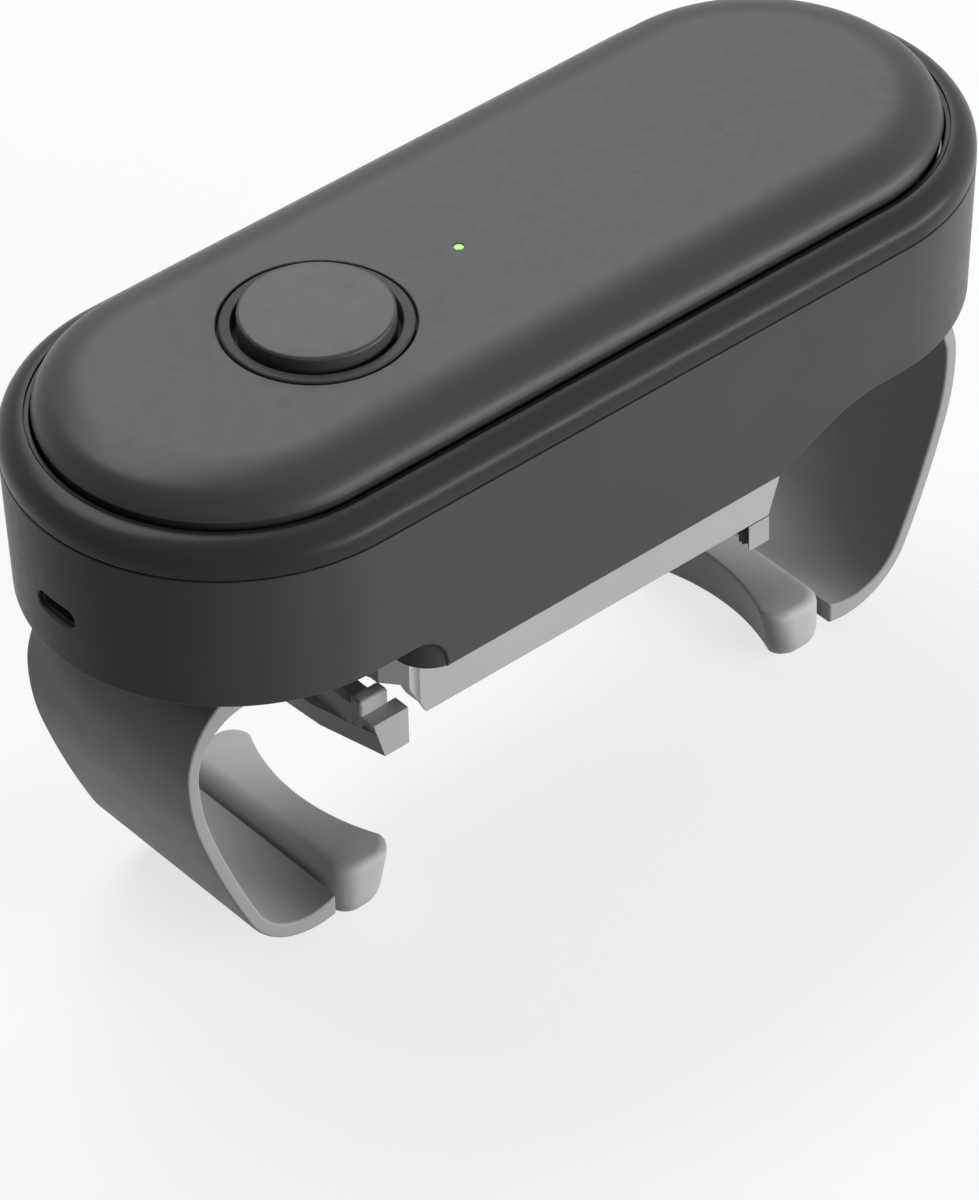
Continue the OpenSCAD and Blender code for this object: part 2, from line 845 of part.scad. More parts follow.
module clamp_screws() {
    color(steel) placed()
        for (x = [-clamp_screw_x, clamp_screw_x])
            translate([x, 0, 0]) screw(2.1, 1.1, 1, -rail_depth + 0.1, 8);
}

module lid_pinion() {
    color(steel) placed() difference() {
        gear(lid_pinion_teeth, 1, jaw_rack_z, jaw_rack_z + jaw_rack_thick, 90);
        rod(2.5 + running_gap, -60, -40);
    }
}

module lid_pinion_pin() {
    color(steel) placed() rod(2.5, -53.5, channel_top + 2.3);
}

// The left jaw: a hook below the rails with a ledge that slides into the near rail's hollow,
// a block with an open pocket before it between the rails, and a rack on its far side
module jaw() {
    inner_x = -41.7;
    rack_y = lid_pinion_teeth / 2;
    color(mid_grey) placed() {
        difference() {
            translate([0, 0, flange_bottom]) linear_extrude(flange_top - flange_bottom)
                polygon([[-47.6, -ledge_y], [-50, -10], [-50.5, 0], [-48, 12],
                         [-39.5, clamp_half_width], [-33, clamp_half_width], [-33, 0],
                         [inner_x, -8], [inner_x, -ledge_y]]);
            rod(lid_r + grip_thick, flange_bottom - 1, flange_top + 1);
        }
        difference() {
            block([-50, -8.7, flange_top - over], [-43.5, 16.6, jaw_rack_z + over]);
            block([-48, -6, flange_top + 2], [-45.5, 8, jaw_rack_z + 1]);
        }
        block([-48.2, -ledge_y, flange_top - over], [inner_x, -20.2, ledge_top]);
        block([-49.4, -20.3, flange_top - over], [-43.2, -17.4, -50.2]);
        block([-49.8, -17.5, flange_top - over], [-48.2, -8.6, jaw_rack_z - 0.3]);
        translate([0, 0, jaw_rack_z]) linear_extrude(jaw_rack_thick) {
            translate([-50, -8.7]) square([6.5, 25.3]);
            translate([-44, rack_y + dedendum]) square([56, 16.6 - rack_y - dedendum]);
            rack_teeth(1, rack_y, -9, 2);
        }
    }
}

// The left jaw's ribbed liner, which touches the lid
module jaw_grip() {
    start = 147;
    end = 189;
    color(dark_grey) placed() translate([0, 0, flange_bottom + 0.4]) linear_extrude(4.6)
        intersection() {
            union() {
                difference() {
                    circle(lid_r + grip_thick, $fn = 360);
                    circle(lid_r + 0.4, $fn = 360);
                }
                for (a = [start + 1.5:3:end - 1])
                    rotate(a) translate([lid_r + 0.45, 0]) circle(0.45, $fn = 24);
            }
            polygon([[0, 0], 60 * [cos(start), sin(start)], 60 * [cos(168), sin(168)],
                     60 * [cos(end), sin(end)]]);
        }
}

module left_jaw() {
    jaw();
}

module right_jaw() {
    rotate(180) jaw();
}

module left_jaw_grip() {
    jaw_grip();
}

module right_jaw_grip() {
    rotate(180) jaw_grip();
}

// ---------------------------------------------------------------- jar arms

module arm_pinion() {
    color(nylon) placed() difference() {
        union() {
            gear(arm_pinion_teeth, 1, rack_z - 0.1, rack_z + rack_thick + 0.1, 90);
            rod(7.5, rack_z + rack_thick, floor_top - 0.3);
        }
        rod(spindle_r + running_gap, -40, -20);
    }
}

// The left arm's side outline, in (x, height): out along its outer face and back inside
module arm_outline() {
    tight_lean = 180 + arm_side_turn;
    full_lean = 180 + arm_lean;
    lower_centre = arm_side_centre
        + (arm_side_r - arm_lower_r) * [cos(tight_lean), sin(tight_lean)];
    foot = lower_centre + (arm_lower_r - arm_foot_r) * [cos(full_lean), sin(full_lean)];
    inner_side_r = arm_side_r - arm_side_thick;
    inner_lower_r = arm_lower_r - arm_side_thick;
    inner_top_r = 10.5;
    inner_foot_r = 12;
    inner_foot = lower_centre
        + (inner_lower_r - inner_foot_r) * [cos(full_lean), sin(full_lean)];
    inner_top = arm_side_centre - [inner_side_r - inner_top_r, 0];
    polygon(concat(
        [[-69, arm_top_z]],
        arc([-arm_reach + arm_top_r, arm_top_z - arm_top_r], arm_top_r, 90, 180, 12),
        arc(arm_side_centre, arm_side_r, 184, tight_lean, 5),
        arc(lower_centre, arm_lower_r, tight_lean + 2, full_lean, 4),
        arc(foot, arm_foot_r, full_lean + 6, 270 + asin((lip_end - foot[0]) / arm_foot_r), 11),
        arc(inner_foot, inner_foot_r,
            270 + asin((lip_end - inner_foot[0]) / inner_foot_r), full_lean + 6, 11),
        arc(lower_centre, inner_lower_r, full_lean, tight_lean + 2, 4),
        arc(arm_side_centre, inner_side_r, tight_lean, 184, 5),
        arc(inner_top, inner_top_r, 180, 90, 12),
        [[-69, inner_top[1] + inner_top_r]]));
}

module arm() {
    color(mid_grey) placed() difference() {
        union() {
            translate([0, arm_half_width, 0]) rotate([90, 0, 0])
                linear_extrude(2 * arm_half_width) arm_outline();
            block([lip_end - 1, -16, -91.2], [-50, 16, -89.6]);
        }
        block([-76, -20.1, rack_z], [-60, 20.1, 0]);
        for (y = [-arm_screw_y, arm_screw_y])
            translate([arm_screw_x, y, 0]) {
                rod(1.1, -40, rack_z + 1);
                rod(2.2, -40, rack_z - 1.5);
            }
    }
}

// The left arm's flat rack: wide where it is screwed to the arm, then beside the arm pinion
module rack() {
    pitch_y = arm_pinion_teeth / 2;
    color(steel) placed() difference() {
        translate([0, 0, rack_z]) linear_extrude(rack_thick) {
            translate([-76, -20]) square([7, 40]);
            translate([-70, 3]) square([32, 17]);
            translate([-40, pitch_y + dedendum]) square([54, 20 - pitch_y - dedendum]);
            rack_teeth(1, pitch_y, -10, 3);
        }
        for (y = [-arm_screw_y, arm_screw_y])
            translate([arm_screw_x, y, 0]) rod(1, -40, -20);
    }
}

module arm_screws() {
    color(steel) placed()
        for (y = [-arm_screw_y, arm_screw_y])
            translate([arm_screw_x, y, 0]) screw(2.1, 0.8, 1, rack_z - 2.3, 4);
}

// A rectangle whose corners have radii of their own, in the order low left, low right,
// high right, high left
module cornered(low, high, radii) {
    polygon(concat(
        arc([low[0] + radii[0], low[1] + radii[0]], radii[0], 180, 270, 6),
        arc([high[0] - radii[1], low[1] + radii[1]], radii[1], 270, 360, 6),
        arc([high[0] - radii[2], high[1] - radii[2]], radii[2], 0, 90, 6),
        arc([low[0] + radii[3], high[1] - radii[3]], radii[3], 90, 180, 6)));
}

// The left arm's soft jar pad, its face hollowed and flared for the jar, held on the arm's
// lip by a tongue
module arm_pad() {
    top = pad_height - rest_depth;
    far = pad_half_width + 1;
    color(light_grey) placed() difference() {
        intersection() {
            translate([0, 0, -rest_depth]) linear_extrude(pad_height)
                round_rect([pad_back, -pad_half_width], [pad_front, pad_half_width], 4);
            translate([0, far, 0]) rotate([90, 0, 0]) linear_extrude(2 * far)
                cornered([pad_back, -rest_depth], [pad_front, top], [3.8, 1, 0.8, 2]);
            translate([pad_back - 1, 0, 0]) rotate([90, 0, 90])
                linear_extrude(pad_front - pad_back + 2)
                    cornered([-pad_half_width, -rest_depth], [pad_half_width, top],
                             [6, 6, 1.5, 1.5]);
        }
        translate([-pad_grip + pad_curve, 0, -rest_depth - over])
            cylinder(r1 = pad_curve + pad_flare, r2 = pad_curve, h = pad_height + 2 * over);
        block([pad_back - 1, -16.1, -91.25], [-49.9, 16.1, -89.55]);
    }
}

module left_arm() {
    arm();
}

module right_arm() {
    rotate(180) arm();
}

module left_rack() {
    rack();
}

module right_rack() {
    rotate(180) rack();
}

module left_arm_screws() {
    arm_screws();
}

module right_arm_screws() {
    rotate(180) arm_screws();
}

module left_arm_pad() {
    arm_pad();
}

module right_arm_pad() {
    rotate(180) arm_pad();
}

// ---------------------------------------------------------------- nodes

lower_casing();
upper_casing();
top_cover();
base_plate();
casing_screws();
base_screws();
control_bezel();
button_cap();
button_spring();
switch_plunger();
tact_switch();
light_window();
status_led();
circuit_board();
board_screws();
charging_board();
charging_socket();
battery_cradle();
battery_cell_near();
battery_cell_far();
battery_leads();
motor_leads();
motor();
motor_shaft();
motor_pinion();
first_gear();
second_gear();
third_gear();
first_axle();
second_axle();
third_axle();
lower_gear_plate();
upper_gear_plate();
plate_screws();
spindle_bush();
output_gear();
spindle();
spindle_clip();
thrust_washer();
clamp_housing();
clamp_cover();
pressure_pad();
clamp_screws();
lid_pinion();
lid_pinion_pin();
left_jaw();
right_jaw();
left_jaw_grip();
right_jaw_grip();
arm_pinion();
left_arm();
right_arm();
left_rack();
right_rack();
left_arm_screws();
right_arm_screws();
left_arm_pad();
right_arm_pad();
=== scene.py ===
"""The looks of the electric jar opener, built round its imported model.

Pieces are drawn in millimetres. The origin is on the spindle's axis and heights count from the
casing's parting line; +X runs along the casing and -Y faces the camera's side. The far half of
the mechanism is the near half turned half round the spindle.
"""

import math

import bmesh
import bpy
from mathutils import Matrix, Vector
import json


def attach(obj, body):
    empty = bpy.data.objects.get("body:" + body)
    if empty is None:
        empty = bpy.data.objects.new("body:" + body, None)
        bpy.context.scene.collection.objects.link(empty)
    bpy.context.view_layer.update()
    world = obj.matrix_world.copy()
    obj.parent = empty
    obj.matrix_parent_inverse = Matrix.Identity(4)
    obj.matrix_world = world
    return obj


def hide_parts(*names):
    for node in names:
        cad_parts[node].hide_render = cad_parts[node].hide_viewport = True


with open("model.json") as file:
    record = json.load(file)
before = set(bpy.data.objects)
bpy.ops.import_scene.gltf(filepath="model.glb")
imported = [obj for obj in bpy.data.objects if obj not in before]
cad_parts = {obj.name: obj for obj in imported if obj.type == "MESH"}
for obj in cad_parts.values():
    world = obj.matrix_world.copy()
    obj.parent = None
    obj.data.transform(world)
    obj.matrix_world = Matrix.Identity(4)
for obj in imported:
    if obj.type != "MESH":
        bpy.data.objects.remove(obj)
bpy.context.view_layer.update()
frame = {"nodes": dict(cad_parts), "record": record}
scene = bpy.context.scene

MM = 0.001
ALONG_X, ALONG_Y, UP = (1, 0, 0), (0, 1, 0), (0, 0, 1)

# Sizes in millimetres, as in the part's source

# Casing
PARTING_HEIGHT = 96.8
END_OFFSET = 58.2
HALF_WIDTH = 38.0
FOOT_HALF_WIDTH = 36.9
BELLY_DEPTH = 34.7
RAISED_DEPTH = 26.9
WALL = 2.2
FLOOR_TOP = -24.9
BELLY_NEAR_LEFT = -43.8
BELLY_NEAR_RIGHT = 30.7
SCOOP_R = 7.0
CHEEK_END = -49.0
CHEEK_MIDDLE = -29.7
CHEEK_R = 7.0
SLOPE_RUN = 16.3
SLOPE_BLEND_R = 30.0
ARM_SLOT = ((-60, 2.6, -33.3), (-20, 20.4, -29.7))
SOCKET_WIDTH = 9.5
SOCKET_HEIGHT = 3.7
SOCKET_Z = -16.4
SCREW_SPOTS = ((70, -29), (71, 28.5), (-70, 29), (-71, -28.5))
SCREW_HEAD_R = 2.7
SCREW_HEAD_DEPTH = 1.2

# Cover and shoulder
COVER_EDGE = 32.3
COVER_TOP = 13.4
COVER_WALL = 1.1
COVER_ROUND = 6.15
COVER_LIP = 1.0
SKIRT_SET_BACK = 0.55
SKIRT_FOOT = 4.2
CROWN_R = 18.0
CROWN_TURN = 22.0
SHOULDER_FOOT = 0.35
SHOULDER_TOP = 6.4
SHOULDER_ROUND = 4.4
SHOULDER_BORE = 32.5
SHOULDER_LIP_TOP = 6.2
GROOVE_INNER = 33.2
GROOVE_OUTER = 33.4
GROOVE_FLOOR = 5.8

# Button and light
BUTTON_X = -39.1
BUTTON_R = 13.2
BUTTON_TOP = 16.05
CAP_BORE_R = 11.9
CAP_FOOT = 11.2
CAP_ROOF = 14.3
STEM_R = 4
STEM_FOOT = 8.9
CATCH_R = 4.8
CATCH_FOOT = 7.9
BEZEL_R = 16.2
BEZEL_BORE_R = BUTTON_R + 1
BEZEL_TOP = 13.6
BEZEL_FLOOR = 10
BEZEL_FOOT = 9
STEM_HOLE_R = 4.06
COLLAR_TOP = 11.6
COLLAR_FOOT = 10.4
BEZEL_COLLAR_R = 18.5
LIGHT_X = -8.5
LIGHT_R = 0.9
LENS_R = 0.88
LENS_COLLAR_R = 2
LENS_FOOT = 7.5

# Arms and pads
ARM_REACH = 87.1
ARM_HALF_WIDTH = 21.6
ARM_TOP = -30.0
ARM_ROOT = -69
ARM_TOP_R = 16.0
ARM_INNER_TOP_R = 10.5
ARM_SIDE_R = 46.0
ARM_SIDE_TURN = 17.5
ARM_LOWER_R = 180.0
ARM_LEAN = 25.5
ARM_FOOT_R = 16.05
ARM_INNER_FOOT_R = 12.0
ARM_THICK = 2.5
LIP_END = -57.3
RACK_NOTCH = ((-76, -20.1, -33), (-60, 20.1, -20))
PAD_GRIP = 47.6
PAD_CURVE = 41.6
PAD_FLARE = 3.0
PAD_HEIGHT = 12.8
PAD_BACK = -56.0
PAD_HALF_WIDTH = 22.0
PAD_CORNER_R = 4.2
PAD_FOOT_ROUNDS = {"back": 4.8, "ends": 6.0, "face": 1.2}
PAD_TOP_ROUNDS = {"back": 2.2, "ends": 1.6, "face": 1.0}

# Lid clamp and jaws
CLAMP_TOP = -36.0
RAIL_DEPTH = 55.4
CLAMP_HALF_LENGTH = 45.5
CLAMP_HALF_WIDTH = 24.5
CLAMP_CORNER_R = 4.0
CHANNEL_HALF_WIDTH = 20.6
CHANNEL_TOP = -47.8
LEDGE_Y = 23.5
LEDGE_TOP = -53.2
FLANGE_TOP = -55.7
FLANGE_BOTTOM = -61.1
LID_R = 41.2

# Nearer points are welded into one, and a tiny step keeps two apart
WELD_DISTANCE = 0.0005
TINY = 0.001

# Degrees for each facet of a rounded corner, and facets of a full turn or a casing's half turn
ROUND_STEP = 11
LATHE_STEPS = 96
SMALL_LATHE_STEPS = 32
END_STEPS = 64
SHOULDER_STEPS = 56

# Edges that turn by more degrees than these are rounded off, or shaded as sharp
SOFTEN_OVER = 28
SHARP_OVER = 32

# ------------------------------------------------------------------ camera

CAMERA_AZIMUTH = -39.942
CAMERA_ELEVATION = 39.894
CAMERA_ROLL = -1.365
CAMERA_DISTANCE = 1152.44
FOCAL_PIXELS = 6877.4
PHOTO_PIXELS = (979, 1200)
CENTRE_PIXEL = (488.8, 600.0)
SPINDLE_PIXEL = (498.995, 289.594)
SENSOR_WIDTH = 36
CLIP_NEAR, CLIP_FAR = 0.05, 20


def make_camera():
    """Where the photograph was taken from, aimed so that the spindle lands on its pixel."""
    azimuth, elevation, roll = (
        math.radians(a) for a in (CAMERA_AZIMUTH, CAMERA_ELEVATION, CAMERA_ROLL)
    )
    back = Vector((
        math.sin(azimuth) * math.cos(elevation),
        -math.cos(azimuth) * math.cos(elevation),
        math.sin(elevation),
    ))
    level = Vector(UP).cross(back).normalized()
    upright = back.cross(level)
    right = level * math.cos(roll) + upright * math.sin(roll)
    up = upright * math.cos(roll) - level * math.sin(roll)
    per_pixel = CAMERA_DISTANCE / FOCAL_PIXELS
    across = (SPINDLE_PIXEL[0] - CENTRE_PIXEL[0]) * per_pixel
    above = -(SPINDLE_PIXEL[1] - CENTRE_PIXEL[1]) * per_pixel
    place = back * CAMERA_DISTANCE - right * across - up * above
    place.z += PARTING_HEIGHT
    data = bpy.data.cameras.new("photo_camera")
    short_side, long_side = PHOTO_PIXELS
    data.sensor_width = SENSOR_WIDTH
    data.lens = FOCAL_PIXELS / long_side * data.sensor_width
    data.shift_x = (short_side / 2 - CENTRE_PIXEL[0]) / long_side
    data.clip_start, data.clip_end = CLIP_NEAR, CLIP_FAR
    camera = bpy.data.objects.new("photo_camera", data)
    turn = Matrix((right, up, back)).transposed().to_4x4()
    camera.matrix_world = Matrix.Translation(place * MM) @ turn
    scene.collection.objects.link(camera)
    scene.camera = camera


make_camera()

# ------------------------------------------------------------------ materials

SURFACE_OUTPUTS = [
    ("Colour", "NodeSocketColor"),
    ("Roughness", "NodeSocketFloat"),
    ("Normal", "NodeSocketVector"),
]
# Most of a noise lies between these
NOISE_SPREAD = {"From_Min": 0.3, "From_Max": 0.7}
# Handling marks change the roughness by these factors
MARK_ROUGHNESS = (0.88, 1.14)
SCRATCH_DEPTH = 0.00002
LIGHT_MIDDLE = (0.62, 1.0, 0.3, 1)
LIGHT_EDGE = (0.09, 0.55, 0.01, 1)
LIGHT_STRENGTH = 0.9


def node_group(name, inputs, outputs):
    """An empty shader group with its sockets, and its input and output nodes."""
    group = bpy.data.node_groups.new(name, "ShaderNodeTree")
    for label, kind, value in inputs:
        item = group.interface.new_socket(label, in_out="INPUT", socket_type=kind)
        item.default_value = value
    for label, kind in outputs:
        group.interface.new_socket(label, in_out="OUTPUT", socket_type=kind)
    return group, group.nodes.new("NodeGroupInput"), group.nodes.new("NodeGroupOutput")


def add(tree, kind, **values):
    """A node of that kind, with properties set by name and inputs by their label."""
    node = tree.nodes.new(kind)
    for key, value in values.items():
        if hasattr(node, key):
            setattr(node, key, value)
        else:
            node.inputs[key.replace("_", " ")].default_value = value
    return node


def join(tree, *pairs):
    for out, into in pairs:
        tree.links.new(out, into)


def moulded_surface_group():
    """Colour, roughness and normal of moulded plastic: fine spark grain, faint flow clouds
    and a few handling marks, all in object space."""
    group, given, result = node_group(
        "moulded_surface",
        [
            ("Colour", "NodeSocketColor", (0.1, 0.1, 0.1, 1)),
            ("Roughness", "NodeSocketFloat", 0.4),
            ("Grain Scale", "NodeSocketFloat", 3200.0),
            ("Grain Depth", "NodeSocketFloat", 0.00002),
            ("Cloud", "NodeSocketFloat", 0.06),
        ],
        SURFACE_OUTPUTS,
    )
    place = group.nodes.new("ShaderNodeTexCoord").outputs["Object"]
    cloud = add(group, "ShaderNodeTexNoise", Scale=38.0, Detail=3.0)
    marks = add(group, "ShaderNodeTexNoise", Scale=420.0, Detail=4.0, Roughness=0.65)
    grain = add(group, "ShaderNodeTexNoise", Detail=2.0)
    shade = add(group, "ShaderNodeMapRange", **NOISE_SPREAD)
    low = add(group, "ShaderNodeMath", operation="SUBTRACT")
    high = add(group, "ShaderNodeMath", operation="ADD")
    low.inputs[0].default_value = high.inputs[0].default_value = 1.0
    tint = add(group, "ShaderNodeVectorMath", operation="SCALE")
    rough = add(group, "ShaderNodeMapRange", From_Min=0.25, From_Max=0.75)
    rough_low = add(group, "ShaderNodeMath", operation="MULTIPLY")
    rough_high = add(group, "ShaderNodeMath", operation="MULTIPLY")
    rough_low.inputs[1].default_value, rough_high.inputs[1].default_value = MARK_ROUGHNESS
    bump = add(group, "ShaderNodeBump", Strength=0.35)
    join(
        group,
        (place, cloud.inputs["Vector"]),
        (place, marks.inputs["Vector"]),
        (place, grain.inputs["Vector"]),
        (given.outputs["Grain Scale"], grain.inputs["Scale"]),
        (given.outputs["Cloud"], low.inputs[1]),
        (given.outputs["Cloud"], high.inputs[1]),
        (cloud.outputs["Fac"], shade.inputs["Value"]),
        (low.outputs[0], shade.inputs["To Min"]),
        (high.outputs[0], shade.inputs["To Max"]),
        (given.outputs["Colour"], tint.inputs[0]),
        (shade.outputs["Result"], tint.inputs["Scale"]),
        (tint.outputs["Vector"], result.inputs["Colour"]),
        (given.outputs["Roughness"], rough_low.inputs[0]),
        (given.outputs["Roughness"], rough_high.inputs[0]),
        (marks.outputs["Fac"], rough.inputs["Value"]),
        (rough_low.outputs[0], rough.inputs["To Min"]),
        (rough_high.outputs[0], rough.inputs["To Max"]),
        (rough.outputs["Result"], result.inputs["Roughness"]),
        (grain.outputs["Fac"], bump.inputs["Height"]),
        (given.outputs["Grain Depth"], bump.inputs["Distance"]),
        (bump.outputs["Normal"], result.inputs["Normal"]),
    )
    return group


def machined_surface_group():
    """Colour, roughness and normal of turned or rolled metal: fine stretched scratches."""
    group, given, result = node_group(
        "machined_surface",
        [
            ("Colour", "NodeSocketColor", (0.6, 0.6, 0.6, 1)),
            ("Roughness", "NodeSocketFloat", 0.3),
            ("Stretch", "NodeSocketVector", (1, 1, 12)),
        ],
        SURFACE_OUTPUTS,
    )
    place = group.nodes.new("ShaderNodeTexCoord").outputs["Object"]
    stretched = add(group, "ShaderNodeVectorMath", operation="MULTIPLY")
    lines = add(group, "ShaderNodeTexNoise", Scale=900.0, Detail=5.0, Roughness=0.6)
    shade = add(group, "ShaderNodeMapRange", To_Min=0.86, To_Max=1.06, **NOISE_SPREAD)
    tint = add(group, "ShaderNodeVectorMath", operation="SCALE")
    rough = add(group, "ShaderNodeMath", operation="MULTIPLY")
    flip = add(group, "ShaderNodeMath", operation="DIVIDE")
    flip.inputs[0].default_value = 1.0
    bump = add(group, "ShaderNodeBump", Strength=0.25, Distance=SCRATCH_DEPTH)
    join(
        group,
        (place, stretched.inputs[0]),
        (given.outputs["Stretch"], stretched.inputs[1]),
        (stretched.outputs["Vector"], lines.inputs["Vector"]),
        (lines.outputs["Fac"], shade.inputs["Value"]),
        (given.outputs["Colour"], tint.inputs[0]),
        (shade.outputs["Result"], tint.inputs["Scale"]),
        (tint.outputs["Vector"], result.inputs["Colour"]),
        (shade.outputs["Result"], flip.inputs[1]),
        (flip.outputs[0], rough.inputs[0]),
        (given.outputs["Roughness"], rough.inputs[1]),
        (rough.outputs[0], result.inputs["Roughness"]),
        (lines.outputs["Fac"], bump.inputs["Height"]),
        (bump.outputs["Normal"], result.inputs["Normal"]),
    )
    return group


MOULDED = moulded_surface_group()
MACHINED = machined_surface_group()


def grey(level):
    """A linear grey from its 0 to 255 screen level, by the sRGB curve above its darkest part."""
    value = ((level / 255 + 0.055) / 1.055) ** 2.4
    return (value, value, value, 1)


def surfaced(name, group, colour, roughness, metallic=0.0, gloss=0.5, **inputs):
    """A Principled material whose colour, roughness and normal come from a surface group."""
    material = bpy.data.materials.new(name)
    material.use_nodes = True
    tree = material.node_tree
    shader = tree.nodes["Principled BSDF"]
    surface = tree.nodes.new("ShaderNodeGroup")
    surface.node_tree = group
    surface.inputs["Colour"].default_value = colour
    surface.inputs["Roughness"].default_value = roughness
    for key, value in inputs.items():
        surface.inputs[key.replace("_", " ")].default_value = value
    shader.inputs["Metallic"].default_value = metallic
    shader.inputs["Specular IOR Level"].default_value = gloss
    join(
        tree,
        (surface.outputs["Colour"], shader.inputs["Base Color"]),
        (surface.outputs["Roughness"], shader.inputs["Roughness"]),
        (surface.outputs["Normal"], shader.inputs["Normal"]),
    )
    material.diffuse_color = colour
    return material


casing_plastic = surfaced("casing_plastic", MOULDED, grey(70), 0.38, gloss=0.1, Cloud=0.05)
cover_plastic = surfaced("cover_plastic", MOULDED, grey(56), 0.35, gloss=0.25, Cloud=0.05)
# Darker than the casing plastic: the shoulder band's shade is painted into this grey
shoulder_painted_shade_plastic = surfaced("shoulder_painted_shade_plastic", MOULDED, grey(44), 0.3, gloss=0.16, Cloud=0.05)
button_plastic = surfaced("button_plastic", MOULDED, grey(62), 0.33, gloss=0.28, Cloud=0.04)
arm_plastic = surfaced("arm_plastic", MOULDED, grey(154), 0.46, gloss=0.1, Cloud=0.05)
clamp_plastic = surfaced("clamp_plastic", MOULDED, grey(168), 0.44, gloss=0.25, Cloud=0.04)
jaw_plastic = surfaced("jaw_plastic", MOULDED, grey(162), 0.44, gloss=0.25, Cloud=0.04)
nylon = surfaced("nylon", MOULDED, (0.78, 0.76, 0.68, 1), 0.45, Grain_Scale=1500.0, Cloud=0.05)
lead_plastic = surfaced("lead_plastic", MOULDED, (0.45, 0.02, 0.015, 1), 0.4)
board_green = surfaced("board_green", MOULDED, (0.015, 0.11, 0.04, 1), 0.3, Grain_Scale=900.0)
cell_sleeve = surfaced("cell_sleeve", MOULDED, (0.03, 0.1, 0.3, 1), 0.25, Grain_Depth=0.000005)
pad_rubber = surfaced(
    "pad_rubber", MOULDED, grey(172), 0.62, Grain_Scale=1700.0, Grain_Depth=0.00005, Cloud=0.05
)
grip_rubber = surfaced(
    "grip_rubber", MOULDED, grey(38), 0.7, Grain_Scale=1500.0, Grain_Depth=0.00006, Cloud=0.08
)
steel = surfaced("steel", MACHINED, (0.52, 0.52, 0.54, 1), 0.3, metallic=1.0)
# Near-black metal, so the charging slot reads dark: painted shade inside the recess
socket_painted_shade_steel = surfaced("socket_painted_shade_steel", MACHINED, (0.05, 0.05, 0.052, 1), 0.5, metallic=1.0)
brass = surfaced("brass", MACHINED, (0.68, 0.48, 0.2, 1), 0.32, metallic=1.0)


def lens_material():
    """The little green light: clear plastic, lit from behind and brightest in the middle."""
    material = surfaced("light_lens", MOULDED, (0.18, 0.72, 0.05, 1), 0.2, Grain_Depth=0.000005)
    tree = material.node_tree
    shader = tree.nodes["Principled BSDF"]
    place = tree.nodes.new("ShaderNodeTexCoord").outputs["Object"]
    centre = add(tree, "ShaderNodeVectorMath", operation="SUBTRACT")
    centre.inputs[1].default_value = (LIGHT_X * MM, 0.0, (PARTING_HEIGHT + COVER_TOP) * MM)
    reach = add(tree, "ShaderNodeVectorMath", operation="LENGTH")
    fade = add(tree, "ShaderNodeMapRange", From_Max=LIGHT_R * MM)
    glow = add(tree, "ShaderNodeMix", data_type="RGBA", A=LIGHT_MIDDLE, B=LIGHT_EDGE)
    join(
        tree,
        (place, centre.inputs[0]),
        (centre.outputs["Vector"], reach.inputs[0]),
        (reach.outputs["Value"], fade.inputs["Value"]),
        (fade.outputs["Result"], glow.inputs["Factor"]),
        (glow.outputs["Result"], shader.inputs["Emission Color"]),
    )
    shader.inputs["Emission Strength"].default_value = LIGHT_STRENGTH
    return material


light_lens = lens_material()

# ------------------------------------------------------------------ drawing tools


class Pen:
    """Draws a line in a bmesh by extruding and spinning its tip, as far as close()."""

    def __init__(self, bm, start):
        self.bm = bm
        self.first = self.tip = bm.verts.new(start)

    def line(self, *points):
        for point in points:
            made = bmesh.ops.extrude_vert_indiv(self.bm, verts=[self.tip])
            self.tip = made["verts"][0]
            self.tip.co = point
        return self

    def arc(self, centre, axis, degrees, steps):
        made = bmesh.ops.spin(
            self.bm, geom=[self.tip], cent=centre, axis=axis,
            angle=math.radians(degrees), steps=steps,
        )
        self.tip = [v for v in made["geom_last"] if isinstance(v, bmesh.types.BMVert)][0]
        return self

    def close(self):
        self.bm.edges.new((self.tip, self.first))
        return self


def weld(bm):
    bmesh.ops.remove_doubles(bm, verts=bm.verts, dist=WELD_DISTANCE)


def profile(points, rounds=()):
    """A bmesh with one section, (radius, height) pairs joined in order. rounds maps a point's
    number to the radius that its corner is rounded by."""
    bm = bmesh.new()
    sharp = [Vector((r, 0, z)) for r, z in points]
    radii = dict(rounds)
    pen = None
    for i, corner in enumerate(sharp):
        if i not in radii or i in (0, len(sharp) - 1):
            stops = [corner]
        else:
            into = (corner - sharp[i - 1]).normalized()
            away = (sharp[i + 1] - corner).normalized()
            turn = into.angle(away)
            short = radii[i] * math.tan(turn / 2)
            side = 1 if into.cross(away).y > 0 else -1
            inward = Vector(ALONG_Y).cross(into) * side
            centre = corner - into * short + inward * radii[i]
            arm = corner - into * short - centre
            steps = max(2, round(math.degrees(turn) / ROUND_STEP))
            stops = [
                centre + Matrix.Rotation(turn * k / steps * side, 3, "Y") @ arm
                for k in range(steps + 1)
            ]
        if pen is None:
            pen = Pen(bm, stops[0])
            stops = stops[1:]
        pen.line(*stops)
    return bm


def lathe(bm, centre, steps=LATHE_STEPS):
    """Spins a section in the XZ plane fully round an upright axis."""
    bmesh.ops.translate(bm, vec=(centre[0], centre[1], 0), verts=bm.verts)
    bmesh.ops.spin(
        bm, geom=bm.verts[:] + bm.edges[:], cent=(centre[0], centre[1], 0), axis=UP,
        angle=math.radians(360), steps=steps, use_merge=True,
    )
    weld(bm)
    return bm


